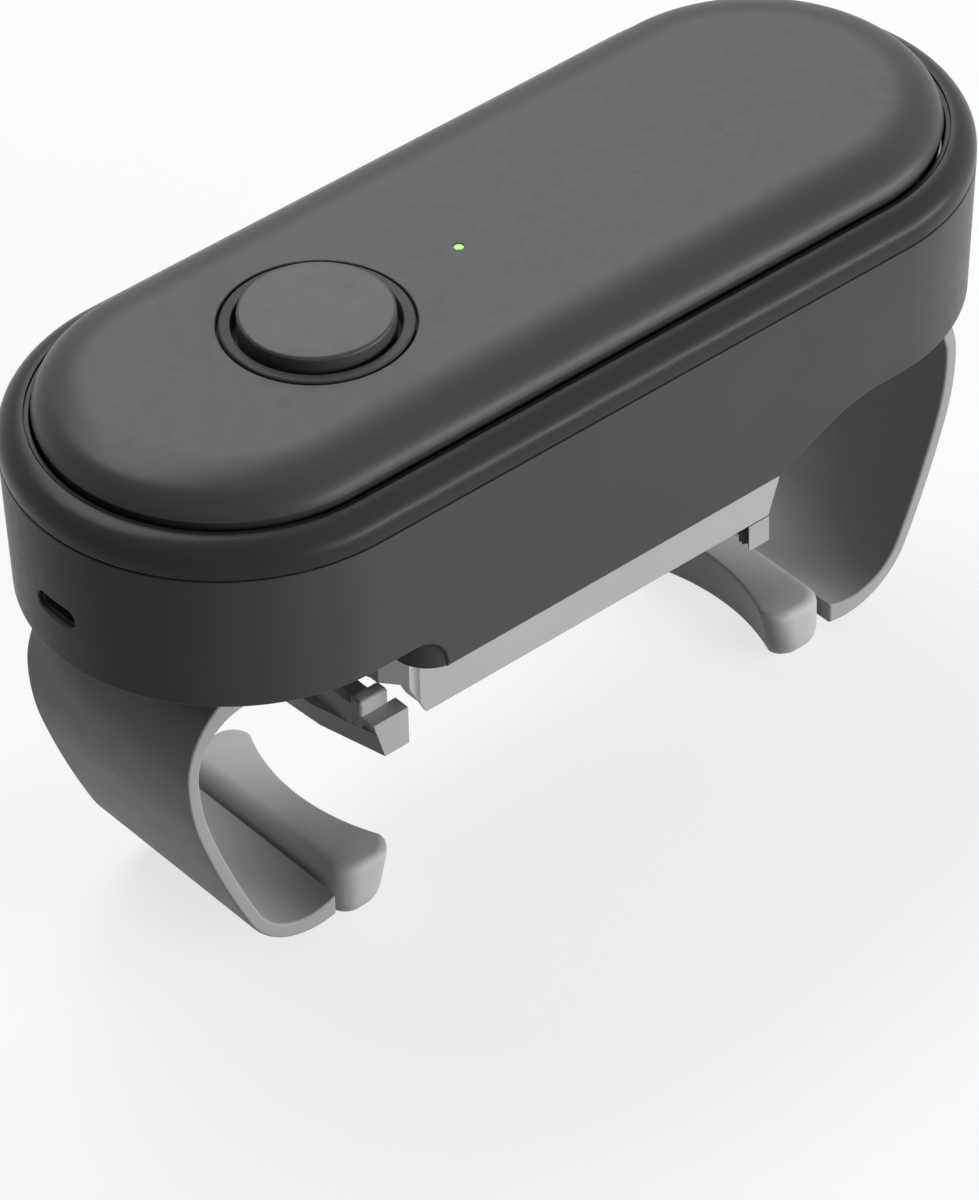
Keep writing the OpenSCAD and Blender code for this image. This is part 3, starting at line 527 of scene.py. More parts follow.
def sweep(bm, steps=END_STEPS):
    """Carries a section round the casing's plan: a half turn, a straight side, and again."""
    bmesh.ops.transform(
        bm, verts=bm.verts,
        matrix=Matrix.Translation((END_OFFSET, 0, 0)) @ Matrix.Rotation(math.radians(-90), 4, "Z"),
    )
    geom = bm.verts[:] + bm.edges[:]
    for side in (1, -1):
        made = bmesh.ops.spin(
            bm, geom=geom, cent=(side * END_OFFSET, 0, 0), axis=UP,
            angle=math.radians(180), steps=steps,
        )
        edges = [e for e in made["geom_last"] if isinstance(e, bmesh.types.BMEdge)]
        made = bmesh.ops.extrude_edge_only(bm, edges=edges)
        verts = [v for v in made["geom"] if isinstance(v, bmesh.types.BMVert)]
        bmesh.ops.translate(bm, vec=(-2 * side * END_OFFSET, 0, 0), verts=verts)
        geom = verts + [e for e in made["geom"] if isinstance(e, bmesh.types.BMEdge)
                        and e.verts[0] in verts and e.verts[1] in verts]
    weld(bm)
    return bm


def slab(bm, along):
    """Fills the drawn outline and pulls it out into a solid."""
    face = bmesh.ops.contextual_create(bm, geom=bm.edges[:])["faces"]
    made = bmesh.ops.extrude_face_region(bm, geom=face, use_keep_orig=True)
    bmesh.ops.translate(
        bm, vec=along, verts=[v for v in made["geom"] if isinstance(v, bmesh.types.BMVert)]
    )
    weld(bm)
    bmesh.ops.recalc_face_normals(bm, faces=bm.faces)
    return bm


def box(low, high):
    bm = bmesh.new()
    bmesh.ops.create_cube(bm, size=1)
    size = Vector(high) - Vector(low)
    middle = (Vector(high) + Vector(low)) / 2
    bmesh.ops.scale(bm, vec=size, verts=bm.verts)
    bmesh.ops.translate(bm, vec=middle, verts=bm.verts)
    return bm


def rod(radius, low, high, spot=(0, 0), steps=48):
    bm = bmesh.new()
    bmesh.ops.create_cone(
        bm, cap_ends=True, segments=steps, radius1=radius, radius2=radius, depth=high - low
    )
    bmesh.ops.translate(bm, vec=(spot[0], spot[1], (low + high) / 2), verts=bm.verts)
    return bm


def turned(bm):
    """The same piece, half a turn round the spindle."""
    other = bm.copy()
    bmesh.ops.rotate(
        other, cent=(0, 0, 0), matrix=Matrix.Rotation(math.pi, 3, "Z"), verts=other.verts
    )
    return other


def carve(bm, cutters, operation="DIFFERENCE"):
    """Cuts each of the cutters out of a closed mesh, or adds them to it."""
    bmesh.ops.recalc_face_normals(bm, faces=bm.faces)
    made = []
    for i, shape in enumerate([bm] + cutters):
        bmesh.ops.recalc_face_normals(shape, faces=shape.faces)
        mesh = bpy.data.meshes.new(f"carving_{i}")
        shape.to_mesh(mesh)
        shape.free()
        made.append(bpy.data.objects.new(f"carving_{i}", mesh))
        scene.collection.objects.link(made[-1])
    for cutter in made[1:]:
        step = made[0].modifiers.new("cut", "BOOLEAN")
        step.operation, step.solver, step.object = operation, "EXACT", cutter
    seen = made[0].evaluated_get(bpy.context.evaluated_depsgraph_get())
    result = bmesh.new()
    result.from_mesh(seen.to_mesh())
    seen.to_mesh_clear()
    for piece in made:
        mesh = piece.data
        bpy.data.objects.remove(piece)
        bpy.data.meshes.remove(mesh)
    weld(result)
    bmesh.ops.dissolve_degenerate(result, dist=WELD_DISTANCE, edges=result.edges)
    return result


def soften(bm, width, chosen=None):
    """Rounds the sharp edges whose middles chosen() says yes to, or all of them."""
    edges = [
        e for e in bm.edges
        if len(e.link_faces) == 2 and e.calc_face_angle(0) > math.radians(SOFTEN_OVER)
        and (chosen is None or chosen((e.verts[0].co + e.verts[1].co) / 2))
    ]
    if edges:
        bmesh.ops.bevel(
            bm, geom=edges, offset=width, offset_type="OFFSET", affect="EDGES",
            segments=3, profile=0.5, material=-1, clamp_overlap=True,
        )
    return bm


def piece(name, bm, body, slot, material, replaces, weighted=False):
    """Turns a drawing into an object in the frame that rides on a body of the model."""
    weld(bm)
    bmesh.ops.recalc_face_normals(bm, faces=bm.faces)
    for face in bm.faces:
        face.smooth = True
    for edge in bm.edges:
        edge.smooth = edge.calc_face_angle(0) < math.radians(SHARP_OVER)
    bmesh.ops.transform(
        bm, verts=bm.verts,
        matrix=Matrix.Scale(MM, 4) @ Matrix.Translation((0, 0, PARTING_HEIGHT)),
    )
    mesh = bpy.data.meshes.new(name)
    bm.to_mesh(mesh)
    bm.free()
    mesh.materials.append(material)
    made = bpy.data.objects.new(name, mesh)
    scene.collection.objects.link(made)
    if weighted:
        shading = made.modifiers.new("even_shading", "WEIGHTED_NORMAL")
        shading.keep_sharp = True
    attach(made, body)
    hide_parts(*replaces)
    return made


# ------------------------------------------------------------------ casing


def cover_section():
    """The cover's edge: a skirt set back under a lip, a rounded edge and a crown."""
    edge_steps, crown_steps, lip_round = 14, 8, 0.16
    turn = math.radians(CROWN_TURN)
    spring = COVER_TOP - COVER_ROUND - (CROWN_R - COVER_ROUND) * (1 - math.cos(turn))
    middle = COVER_EDGE - COVER_ROUND
    flat = middle - (CROWN_R - COVER_ROUND) * math.sin(turn)
    lip, skirt = spring + COVER_LIP, COVER_EDGE - SKIRT_SET_BACK
    start = math.pi / 2 - math.asin(COVER_LIP / COVER_ROUND)
    points = [(skirt, SKIRT_FOOT), (skirt, lip)]
    for k in range(edge_steps + 1):
        a = start + (turn - start) * k / edge_steps
        points.append((middle + COVER_ROUND * math.sin(a), spring + COVER_ROUND * math.cos(a)))
    for k in range(1, crown_steps + 1):
        a = turn * (1 - k / crown_steps)
        points.append((flat + CROWN_R * math.sin(a), COVER_TOP + CROWN_R * (math.cos(a) - 1)))
    return profile(points + [(flat - TINY, COVER_TOP)], {2: lip_round})


def cover_skin():
    """The domed top cover, with rounded mouths for the button's bezel and the light."""
    depth, bezel_gap, bezel_rim, light_rim = 1.8, 0.4, 0.3, 0.12
    skin = sweep(cover_section())
    for x, radius, rim, steps in (
        (BUTTON_X, BEZEL_R + bezel_gap, bezel_rim, LATHE_STEPS),
        (LIGHT_X, LIGHT_R, light_rim, SMALL_LATHE_STEPS),
    ):
        mouth = profile(
            [(radius, COVER_TOP - depth), (radius, COVER_TOP), (radius + rim + TINY, COVER_TOP)],
            {1: rim},
        )
        lathe(mouth, (x, 0), steps)
        mesh = bpy.data.meshes.new("mouth")
        mouth.to_mesh(mesh)
        mouth.free()
        skin.from_mesh(mesh)
        bpy.data.meshes.remove(mesh)
    rims = [e for e in skin.edges if e.is_boundary
            and all(abs(v.co.z - COVER_TOP) < TINY for v in e.verts)]
    bmesh.ops.triangle_fill(skin, edges=rims, use_beauty=True, normal=UP)
    return skin


cover = piece("domed_cover", cover_skin(), "casing", "cover_plastic", cover_plastic, ["top_cover"])
shell = cover.modifiers.new("wall", "SOLIDIFY")
shell.thickness, shell.offset = COVER_WALL * MM, -1

# The section starts and ends on its flat foot. Its bore has a lip with a fine groove behind it.
foot_r, lip_round, seam_round = 34.2, 0.12, 0.3
shoulder = profile(
    [(foot_r, SHOULDER_FOOT), (SHOULDER_BORE, SHOULDER_FOOT), (SHOULDER_BORE, SHOULDER_LIP_TOP),
     (GROOVE_INNER, SHOULDER_LIP_TOP), (GROOVE_INNER, GROOVE_FLOOR), (GROOVE_OUTER, GROOVE_FLOOR),
     (GROOVE_OUTER, SHOULDER_TOP), (HALF_WIDTH, SHOULDER_TOP), (HALF_WIDTH, SHOULDER_FOOT),
     (foot_r, SHOULDER_FOOT)],
    {2: lip_round, 6: lip_round, 7: SHOULDER_ROUND, 8: seam_round},
)
# The ring wears the darker plastic, which paints the shoulder's shade
piece("shoulder_ring", sweep(shoulder, SHOULDER_STEPS), "casing", "casing_plastic",
      shoulder_painted_shade_plastic, ["upper_casing"])


def belly_cheek():
    """The deep middle's rounded corner beside the left arm, which stays."""
    low, height = -BELLY_DEPTH - 4, 16
    inner, back = CHEEK_END + CHEEK_R + 4, CHEEK_MIDDLE + 9
    cheek = bmesh.new()
    pen = Pen(cheek, (CHEEK_END, CHEEK_MIDDLE, low))
    pen.arc((CHEEK_END + CHEEK_R, CHEEK_MIDDLE, low), UP, 90, 12)
    pen.line((inner, CHEEK_MIDDLE - CHEEK_R, low), (inner, back, low), (CHEEK_END, back, low))
    pen.close()
    weld(cheek)
    return slab(cheek, (0, 0, height))


def raised_end_cutter():
    """What is missing under the near half's raised ends: a scoop on the left, a slope right."""
    far, low, face = 110, -BELLY_DEPTH - 3, -HALF_WIDTH - 2
    arm_gap, past_middle = 0.8, 0.01
    corner = BELLY_NEAR_LEFT - SCOOP_R
    left = bmesh.new()
    pen = Pen(left, (-far, face, low))
    pen.line((-far, face, -RAISED_DEPTH), (corner, face, -RAISED_DEPTH))
    pen.arc((corner, face, -RAISED_DEPTH - SCOOP_R), ALONG_Y, 90, 12)
    pen.line((BELLY_NEAR_LEFT, face, low)).close()
    foot = Vector((BELLY_NEAR_RIGHT - 1, face, -BELLY_DEPTH - 0.5))
    slope_end = BELLY_NEAR_RIGHT + SLOPE_RUN
    slope = math.atan((-RAISED_DEPTH - foot.z) / (slope_end - foot.x))
    centre = Vector((
        slope_end + SLOPE_BLEND_R * math.tan(slope / 2), face, -RAISED_DEPTH - SLOPE_BLEND_R
    ))
    right = bmesh.new()
    pen = Pen(right, (foot.x, face, low)).line(
        foot, centre + SLOPE_BLEND_R * Vector((-math.sin(slope), 0, math.cos(slope))))
    pen.arc(centre, ALONG_Y, math.degrees(slope), 10)
    pen.line((far, face, -RAISED_DEPTH), (far, face, low)).close()
    weld(right)
    reach = (0, -face + past_middle, 0)
    beside_arm = box(
        (-far, -ARM_HALF_WIDTH - arm_gap, low), (BELLY_NEAR_LEFT, past_middle, -RAISED_DEPTH)
    )
    return [carve(slab(left, reach), [belly_cheek()]), slab(right, reach), beside_arm]


def socket_mouth():
    """The charging slot's cutter, in the left end wall."""
    outer, depth = -END_OFFSET - HALF_WIDTH - 1, 7
    flat, r = (SOCKET_WIDTH - SOCKET_HEIGHT) / 2, SOCKET_HEIGHT / 2
    mouth = bmesh.new()
    pen = Pen(mouth, (outer, -flat, SOCKET_Z - r)).line((outer, flat, SOCKET_Z - r))
    pen.arc((outer, flat, SOCKET_Z), ALONG_X, 180, 14)
    pen.line((outer, -flat, SOCKET_Z + r)).arc((outer, -flat, SOCKET_Z), ALONG_X, 180, 14)
    weld(mouth)
    return slab(mouth, (depth, 0, 0))


def lower_shell():
    """The casing's deep lower half, cut as the source cuts it."""
    seam_round, edge_round, seam_strip = 0.25, 0.6, 3
    left_wall, right_wall, belly_y = 2.8, 3.7, -34.5
    base = sweep(profile(
        [(0, 0), (HALF_WIDTH, 0), (FOOT_HALF_WIDTH, -BELLY_DEPTH), (0, -BELLY_DEPTH)],
        {1: seam_round},
    ))
    draft = (HALF_WIDTH - FOOT_HALF_WIDTH) / BELLY_DEPTH
    inner, above = HALF_WIDTH - WALL, 2
    hollow = sweep(profile(
        [(0, above), (inner, above), (inner + draft * FLOOR_TOP, FLOOR_TOP), (0, FLOOR_TOP)]
    ))
    belly = box(
        (BELLY_NEAR_LEFT + left_wall, belly_y, -BELLY_DEPTH - 2),
        (BELLY_NEAR_RIGHT - right_wall, 0.01, FLOOR_TOP + 1),
    )
    slot = box(*ARM_SLOT)
    near = raised_end_cutter()
    heads = [rod(SCREW_HEAD_R, -RAISED_DEPTH - 3, -RAISED_DEPTH + SCREW_HEAD_DEPTH, spot)
             for spot in SCREW_SPOTS]
    cutters = [hollow, belly, turned(belly), slot, turned(slot)]
    cutters += near + [turned(c) for c in near] + [socket_mouth()] + heads
    made = carve(base, cutters)

    def on_outer_wall(middle):
        reach = math.hypot(max(abs(middle.x) - END_OFFSET, 0), middle.y)
        return middle.z <= -seam_strip and reach > HALF_WIDTH + draft * middle.z - 0.2

    return soften(made, edge_round, on_outer_wall)


piece("lower_shell", lower_shell(), "casing", "casing_plastic", casing_plastic, ["lower_casing"],
      weighted=True)

inner_round, outer_round = 0.25, 0.45
bezel = profile(
    [(BEZEL_BORE_R, BEZEL_FOOT), (BEZEL_BORE_R, BEZEL_TOP), (BEZEL_R, BEZEL_TOP),
     (BEZEL_R, COLLAR_TOP), (BEZEL_COLLAR_R, COLLAR_TOP), (BEZEL_COLLAR_R, COLLAR_FOOT),
     (BEZEL_R, COLLAR_FOOT), (BEZEL_R, BEZEL_FOOT), (STEM_HOLE_R, BEZEL_FOOT),
     (STEM_HOLE_R, BEZEL_FLOOR), (BEZEL_BORE_R, BEZEL_FLOOR)],
    {1: inner_round, 2: outer_round},
)
piece("button_bezel", lathe(bezel, (BUTTON_X, 0)), "casing", "casing_plastic", casing_plastic,
      ["control_bezel"])

dish_depth, dish_r, top_round, foot_round = 0.04, BUTTON_R - 3, 0.65, 0.2
cap = profile(
    [(0, BUTTON_TOP - dish_depth), (dish_r, BUTTON_TOP), (BUTTON_R, BUTTON_TOP),
     (BUTTON_R, CAP_FOOT), (CAP_BORE_R, CAP_FOOT), (CAP_BORE_R, CAP_ROOF), (STEM_R, CAP_ROOF),
     (STEM_R, STEM_FOOT), (CATCH_R, STEM_FOOT), (CATCH_R, CATCH_FOOT), (0, CATCH_FOOT)],
    {2: top_round, 3: foot_round},
)
piece("press_button", lathe(cap, (BUTTON_X, 0)), "button", "button_plastic", button_plastic,
      ["button_cap"])

middle_drop, edge_drop, lens_round = 0.05, 0.18, 0.1
lens = profile(
    [(0, COVER_TOP - middle_drop), (LENS_R, COVER_TOP - edge_drop), (LENS_R, COLLAR_TOP),
     (LENS_COLLAR_R, COLLAR_TOP), (LENS_COLLAR_R, COLLAR_FOOT), (LENS_R, COLLAR_FOOT),
     (LENS_R, LENS_FOOT), (0, LENS_FOOT)],
    {1: lens_round},
)
piece("light_lens", lathe(lens, (LIGHT_X, 0), SMALL_LATHE_STEPS), "casing", "light_lens",
      light_lens, ["light_window"])

# ------------------------------------------------------------------ arms and pads


def lean_direction(degrees):
    """The way out from the left arm's axis, leaning down from level by that angle."""
    angle = math.radians(degrees)
    return Vector((-math.cos(angle), 0, -math.sin(angle)))


def arm_shell():
    """The left arm: a bent band with softened edges, notched on top for its rack."""
    y, edge_round = -ARM_HALF_WIDTH, 0.5
    corner = Vector((-ARM_REACH + ARM_TOP_R, y, ARM_TOP - ARM_TOP_R))
    side = Vector((-ARM_REACH + ARM_SIDE_R, y, corner.z))
    lean = lean_direction(ARM_LEAN)
    lower = side + lean_direction(ARM_SIDE_TURN) * (ARM_SIDE_R - ARM_LOWER_R)
    foot = lower + lean * (ARM_LOWER_R - ARM_FOOT_R)
    inner_foot = lower + lean * (ARM_LOWER_R - ARM_THICK - ARM_INNER_FOOT_R)
    inner_top = side - Vector((ARM_SIDE_R - ARM_THICK - ARM_INNER_TOP_R, 0, 0))
    past = math.asin((LIP_END - foot.x) / ARM_FOOT_R)
    inner_past = math.asin((LIP_END - inner_foot.x) / ARM_INNER_FOOT_R)
    lower_turn = ARM_LEAN - ARM_SIDE_TURN
    band = bmesh.new()
    pen = Pen(band, (ARM_ROOT, y, ARM_TOP)).line((corner.x, y, ARM_TOP))
    pen.arc(corner, ALONG_Y, -90, 16)
    pen.arc(side, ALONG_Y, -ARM_SIDE_TURN, 7).arc(lower, ALONG_Y, -lower_turn, 6)
    pen.arc(foot, ALONG_Y, -(90 - ARM_LEAN + math.degrees(past)), 18)
    pen.line((LIP_END, y, inner_foot.z - ARM_INNER_FOOT_R * math.cos(inner_past)))
    pen.arc(inner_foot, ALONG_Y, 90 - ARM_LEAN + math.degrees(inner_past), 18)
    pen.arc(lower, ALONG_Y, lower_turn, 6).arc(side, ALONG_Y, ARM_SIDE_TURN, 7)
    pen.arc(inner_top, ALONG_Y, 90, 14)
    pen.line((ARM_ROOT, y, inner_top.z + ARM_INNER_TOP_R)).close()
    weld(band)
    slab(band, (0, 2 * ARM_HALF_WIDTH, 0))
    soften(band, edge_round, lambda middle: abs(abs(middle.y) - ARM_HALF_WIDTH) < 0.01)
    return carve(band, [box(*RACK_NOTCH)])


def drawn_in(part, rise):
    """How far the pad's rounded foot and top draw that part of its outline in at a height."""
    def rounding(radius, off_face):
        return radius - math.sqrt(radius ** 2 - max(radius - off_face, 0) ** 2)

    return max(
        rounding(PAD_FOOT_ROUNDS[part], rise), rounding(PAD_TOP_ROUNDS[part], PAD_HEIGHT - rise)
    )


def pad_outline(bm, rise):
    """One level of the left arm's pad: its back, its round ends and its hollow face."""
    back = PAD_BACK + drawn_in("back", rise)
    half = PAD_HALF_WIDTH - drawn_in("ends", rise)
    corner = PAD_CORNER_R * (half / PAD_HALF_WIDTH) ** 3
    face_r = PAD_CURVE + PAD_FLARE * (PAD_HEIGHT - rise) / PAD_HEIGHT
    face_r += drawn_in("face", rise)
    middle = -PAD_GRIP + PAD_CURVE
    reach = math.asin((half - corner) / face_r)
    front = middle - face_r * math.cos(reach)
    z = rise - PARTING_HEIGHT
    pen = Pen(bm, (back, -half + corner, z)).arc((back + corner, -half + corner, z), UP, 90, 8)
    pen.line((front - corner, -half, z)).arc((front - corner, -half + corner, z), UP, 90, 8)
    pen.arc((middle, 0, z), UP, -2 * math.degrees(reach), 28)
    pen.arc((front - corner, half - corner, z), UP, 90, 8)
    pen.line((back + corner, half, z)).arc((back + corner, half - corner, z), UP, 90, 8)
    pen.close()


def pad_block():
    """The left arm's jar pad: level upon level from its rounded foot to its top."""
    block = bmesh.new()
    quarter = [math.radians(90 * k / 8) for k in range(9)]
    rises = [PAD_FOOT_ROUNDS["ends"] * (1 - math.cos(a)) for a in quarter]
    rises += [PAD_HEIGHT - PAD_TOP_ROUNDS["back"] * (1 - math.cos(a))
              for a in reversed(quarter[::2])]
    for rise in rises:
        pad_outline(block, rise)
    weld(block)
    rings = []
    for rise in rises:
        z = rise - PARTING_HEIGHT
        rings.append([e for e in block.edges if all(abs(v.co.z - z) < TINY for v in e.verts)])
    for low, high in zip(rings, rings[1:]):
        bmesh.ops.bridge_loops(block, edges=low + high)
    for ring in (rings[0], rings[-1]):
        bmesh.ops.triangle_fill(block, edges=ring, use_beauty=True)
    return block


arm, pad = arm_shell(), pad_block()
piece("right_arm_band", turned(arm), "arm_right", "arm_plastic", arm_plastic, ["right_arm"],
      weighted=True)
piece("left_arm_band", arm, "arm_left", "arm_plastic", arm_plastic, ["left_arm"], weighted=True)
piece("right_jar_pad", turned(pad), "arm_right", "pad_rubber", pad_rubber, ["right_arm_pad"])
piece("left_jar_pad", pad, "arm_left", "pad_rubber", pad_rubber, ["left_arm_pad"])

# ------------------------------------------------------------------ lid clamp


def clamp_plan():
    """The clamp housing's block, with two rounded and two bevelled corners."""
    x, y, r, z = CLAMP_HALF_LENGTH, CLAMP_HALF_WIDTH, CLAMP_CORNER_R, -RAIL_DEPTH
    plan = bmesh.new()
    pen = Pen(plan, (-x + r, -y, z)).line((x - r, -y, z)).arc((x - r, -y + r, z), UP, 90, 8)
    pen.line((x, y - r, z), (x - r, y, z), (-x + r, y, z)).arc((-x + r, y - r, z), UP, 90, 8)
    pen.line((-x, -y + r, z)).close()
    weld(plan)
    return slab(plan, (0, 0, CLAMP_TOP + RAIL_DEPTH))


def clamp_cuts(low):
    """What the near rail lacks: a notch over the jaw, a slope, a flute and the jaw's hollow."""
    x, face, foot = CLAMP_HALF_LENGTH, -CLAMP_HALF_WIDTH - 2, -RAIL_DEPTH - 0.1
    notch_end, notch_roof, notch_inner = -47.4, (-42.2, -48), -38.5
    slope_top, slope_foot = -38, x - 6.2
    flute_r, flute_spot = 1.7, (-41.0, -25.7)
    hollow_end, ledge_gap = -19, 0.2
    under = bmesh.new()
    Pen(under, (-x - 2, face, notch_end)).line(
        (notch_roof[0], face, notch_roof[1]), (notch_inner, face, foot),
        (notch_inner, face, low), (-x - 2, face, low),
    ).close()
    over = bmesh.new()
    Pen(over, (x, face, slope_top)).line(
        (slope_foot, face, foot), (slope_foot, face, low), (x + 2, face, low),
        (x + 2, face, slope_top),
    ).close()
    rail = (0, CLAMP_HALF_WIDTH - CHANNEL_HALF_WIDTH + 2.1, 0)
    flute = rod(flute_r, low, CLAMP_TOP + 2, flute_spot, steps=24)
    hollow = box(
        (-60, -LEDGE_Y - ledge_gap, low),
        (hollow_end, -CHANNEL_HALF_WIDTH + 0.1, LEDGE_TOP + ledge_gap),
    )
    return [slab(under, rail), slab(over, rail), flute, hollow]


def clamp_bar():
    """The light grey clamp housing between the casing and the lid."""
    low = -RAIL_DEPTH - 2
    root, tip, root_half, tip_half = -CLAMP_HALF_LENGTH, -48, 18.4, 12
    edge_round, post_r, post_foot, post_x = 0.45, 2.4, -51, 14
    hub_r, hub_rise, boss_r, boss_top = 13.5, 0.7, 9, -33.5
    roof_end = bmesh.new()
    Pen(roof_end, (root + 1, -root_half, CHANNEL_TOP)).line(
        (root, -root_half, CHANNEL_TOP), (tip, -tip_half, CHANNEL_TOP),
        (tip, tip_half, CHANNEL_TOP), (root, root_half, CHANNEL_TOP),
        (root + 1, root_half, CHANNEL_TOP),
    ).close()
    slab(roof_end, (0, 0, CLAMP_TOP - CHANNEL_TOP))
    channel = box((-60, -CHANNEL_HALF_WIDTH, low), (60, CHANNEL_HALF_WIDTH, CHANNEL_TOP))
    cuts = clamp_cuts(low)
    made = carve(clamp_plan(), [channel] + cuts + [turned(cut) for cut in cuts])
    made = carve(made, [roof_end, turned(roof_end)], "UNION")
    outer_r = CHANNEL_HALF_WIDTH + 0.5
    soften(made, edge_round, lambda middle: math.hypot(middle.x, middle.y) > outer_r)
    posts = [rod(post_r, post_foot, CHANNEL_TOP + 0.5, (x, 0)) for x in (-post_x, post_x)]
    hub = [rod(hub_r, CLAMP_TOP - 0.5, CLAMP_TOP + hub_rise), rod(boss_r, CLAMP_TOP, boss_top)]
    return carve(made, hub + posts, "UNION")


piece("clamp_bar", clamp_bar(), "carrier", "clamp_plastic", clamp_plastic, ["clamp_housing"],
      weighted=True)


def jaw_flange():
    """The left jaw's hook under the lid's edge, with the ledge at its near end."""
    low, inner_x, outer_y = FLANGE_BOTTOM, -41.7, CLAMP_HALF_WIDTH
    lean, ledge_depth, lid_gap, edge_round = 1.5, 3.3, 1.4, 0.5
    plan = bmesh.new()
    Pen(plan, (-47, -LEDGE_Y, low)).line(
        (inner_x, -LEDGE_Y, low), (inner_x, -8, low), (-33, 0, low), (-33, outer_y, low),
        (-39.5, outer_y, low), (-48, 12, low), (-50.5, 0, low), (-50, -10, low),
    ).close()
    slab(plan, (0, 0, FLANGE_TOP - low))
    leaning = [v for v in plan.verts if v.co.z > low + 1 and v.co.x < -46]
    bmesh.ops.translate(plan, vec=(-lean, 0, 0), verts=leaning)
    foot = FLANGE_TOP - 0.01
    ledge = bmesh.new()
    Pen(ledge, (-48.5, -LEDGE_Y, foot)).line(
        (-49.2, -LEDGE_Y, LEDGE_TOP), (inner_x, -LEDGE_Y, LEDGE_TOP), (inner_x, -LEDGE_Y, foot),
    ).close()
    slab(ledge, (0, ledge_depth, 0))
    inside_lid = rod(LID_R + lid_gap, low - 2, FLANGE_TOP + 2, steps=160)
    return soften(carve(carve(plan, [ledge], "UNION"), [inside_lid]), edge_round)


def jaw_hook():
    """The left jaw: its hooked flange, the open block between the rails and the rack on its
    far side."""
    under, rack_low, rack_top = FLANGE_TOP - 0.5, -50.8, -48
    neck = soften(box((-50, -8.7, under), (-43.5, 16.6, rack_low)), 0.4)
    lip = soften(box((-49.4, -20.3, under), (-43.2, -17.4, -50.2)), 0.7)
    wall = soften(box((-49.8, -18.2, under), (-48.2, -8.6, rack_low - 0.3)), 0.4)
    top = box((-50, -8.7, rack_low - 0.7), (-43.5, 16.6, rack_top))
    bar = box((-44, 11.2, rack_low), (12, 16.6, rack_top))
    pocket = box((-48, -6, FLANGE_TOP + 2), (-45.5, 8, -49))
    return carve(carve(jaw_flange(), [neck, lip, wall, top, bar], "UNION"), [pocket])


jaw = jaw_hook()
piece("right_jaw_hook", turned(jaw), "jaw_right", "arm_plastic", jaw_plastic, ["right_jaw"],
      weighted=True)
piece("left_jaw_hook", jaw, "jaw_left", "arm_plastic", jaw_plastic, ["left_jaw"], weighted=True)

# ------------------------------------------------------------------ other nodes' finishes

FINISHES = {
    "casing_plastic": casing_plastic,
    "cover_plastic": cover_plastic,
    "button_plastic": button_plastic,
    "clamp_plastic": clamp_plastic,
    "arm_plastic": arm_plastic,
    "pad_rubber": pad_rubber,
    "grip_rubber": grip_rubber,
    "nylon": nylon,
    "steel": steel,
    "brass": brass,
    "light_lens": light_lens,
    "board": board_green,
    "cell_sleeve": cell_sleeve,
    "lead_plastic": lead_plastic,
}
for entry in frame["record"]["subparts"]:
    node = frame["nodes"][entry["node"]]
    if not node.hide_render:
        finish = FINISHES[entry["material_slot"]]
        node.data.materials.clear()
        # The charging socket gets the near-black metal that paints the slot's shade
        node.data.materials.append(socket_painted_shade_steel if entry["node"] == "charging_socket" else finish)

# ------------------------------------------------------------------ studio

FLOOR_SIZE = 6
FLOOR_AS_LIGHT = (0.22, 0.22, 0.22, 1)
FLOOR_AS_SEEN = (0.95, 0.95, 0.95, 1)
# The floor's own white takes over from the shadow between these distances from the opener
WHITEN_FROM, WHITEN_TO = 0.1, 0.5
WHITE_SHARE = 0.74
WORLD_AS_LIGHT = 0.12


def seen_directly(tree):
    """A socket that is 1 for rays to the eye, to a gloss and through glass, and 0 for light."""
    path = tree.nodes.new("ShaderNodeLightPath")
    seen = add(tree, "ShaderNodeMath", operation="MAXIMUM")
    seen_too = add(tree, "ShaderNodeMath", operation="MAXIMUM")
    join(
        tree,
        (path.outputs["Is Camera Ray"], seen.inputs[0]),
        (path.outputs["Is Glossy Ray"], seen.inputs[1]),
        (seen.outputs[0], seen_too.inputs[0]),
        (path.outputs["Is Transmission Ray"], seen_too.inputs[1]),
    )
    return seen_too.outputs[0]


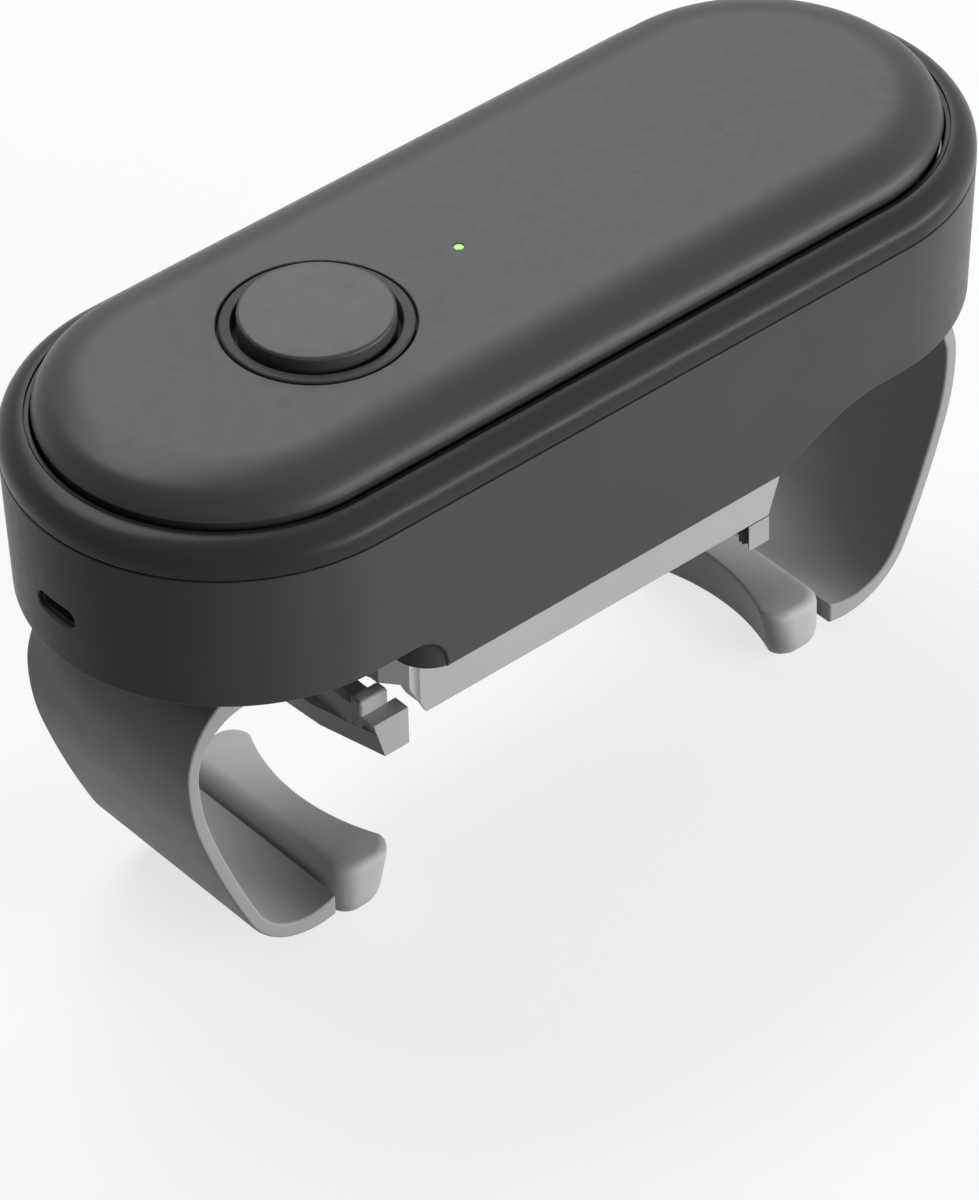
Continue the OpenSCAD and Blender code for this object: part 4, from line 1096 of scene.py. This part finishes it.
def make_floor():
    """A pale floor that keeps the shadow near the opener and is white further off."""
    bm = bmesh.new()
    bmesh.ops.create_grid(bm, x_segments=1, y_segments=1, size=FLOOR_SIZE)
    mesh = bpy.data.meshes.new("studio_floor")
    bm.to_mesh(mesh)
    bm.free()
    material = bpy.data.materials.new("studio_floor")
    material.use_nodes = True
    tree = material.node_tree
    shader = tree.nodes["Principled BSDF"]
    shader.inputs["Roughness"].default_value = 0.9
    shader.inputs["Specular IOR Level"].default_value = 0.1
    white = add(tree, "ShaderNodeEmission", Strength=1.0)
    seen = seen_directly(tree)
    paint = add(tree, "ShaderNodeMix", data_type="RGBA", A=FLOOR_AS_LIGHT, B=FLOOR_AS_SEEN)
    place = tree.nodes.new("ShaderNodeTexCoord").outputs["Object"]
    reach = add(tree, "ShaderNodeVectorMath", operation="LENGTH")
    whiten = add(
        tree, "ShaderNodeMapRange", interpolation_type="SMOOTHSTEP",
        From_Min=WHITEN_FROM, From_Max=WHITEN_TO, To_Min=WHITE_SHARE, To_Max=1.0,
    )
    share = add(tree, "ShaderNodeMath", operation="MULTIPLY")
    mixed = tree.nodes.new("ShaderNodeMixShader")
    join(
        tree,
        (seen, paint.inputs["Factor"]),
        (paint.outputs["Result"], shader.inputs["Base Color"]),
        (place, reach.inputs[0]),
        (reach.outputs["Value"], whiten.inputs["Value"]),
        (whiten.outputs["Result"], share.inputs[1]),
        (seen, share.inputs[0]),
        (share.outputs[0], mixed.inputs["Fac"]),
        (shader.outputs["BSDF"], mixed.inputs[1]),
        (white.outputs["Emission"], mixed.inputs[2]),
        (mixed.outputs["Shader"], tree.nodes["Material Output"].inputs["Surface"]),
    )
    mesh.materials.append(material)
    floor = bpy.data.objects.new("studio_floor", mesh)
    scene.collection.objects.link(floor)


def make_world():
    """White to the eye and in reflections; softer as a light."""
    world = bpy.data.worlds.new("studio")
    world.use_nodes = True
    scene.world = world
    tree = world.node_tree
    back = tree.nodes["Background"]
    level = add(tree, "ShaderNodeMapRange", To_Min=WORLD_AS_LIGHT, To_Max=1.0)
    join(
        tree,
        (seen_directly(tree), level.inputs["Value"]),
        (level.outputs["Result"], back.inputs["Strength"]),
    )
    back.inputs["Color"].default_value = (1, 1, 1, 1)


def softbox(name, place, aim, size, power, fills=True, shines=True):
    """A rectangular lamp in metres and watts. One that doesn't shine leaves no reflection, and
    one that doesn't fill leaves only that."""
    data = bpy.data.lights.new(name, "AREA")
    data.shape, data.size, data.size_y = "RECTANGLE", size[0], size[1]
    data.energy = power
    lamp = bpy.data.objects.new(name, data)
    lamp.location = place
    lamp.rotation_mode = "QUATERNION"
    lamp.rotation_quaternion = (Vector(aim) - Vector(place)).to_track_quat("-Z", "Y")
    lamp.visible_diffuse, lamp.visible_glossy = fills, shines
    scene.collection.objects.link(lamp)


make_floor()
make_world()
softbox("rear_softbox", (-0.1, 0.82, 1.5), (0, 0, 0.1), (1.1, 0.7), 13.5)
softbox("sheen_softbox", (0.69, 0.83, 1.02), (0, 0, 0.11), (0.85, 0.6), 5.4)
# The front light only fills: its reflection would whiten the cover for a viewer behind.
# A lower strip gives the shoulder its sheen.
softbox("front_softbox", (0.56, -0.86, 0.22), (0.1, 0, 0.08), (1.15, 0.42), 14.5, shines=False)
softbox("front_strip", (0.56, -0.86, 0.1), (0.1, 0, 0.1), (1.15, 0.18), 6, fills=False)

scene.view_settings.view_transform = "Standard"
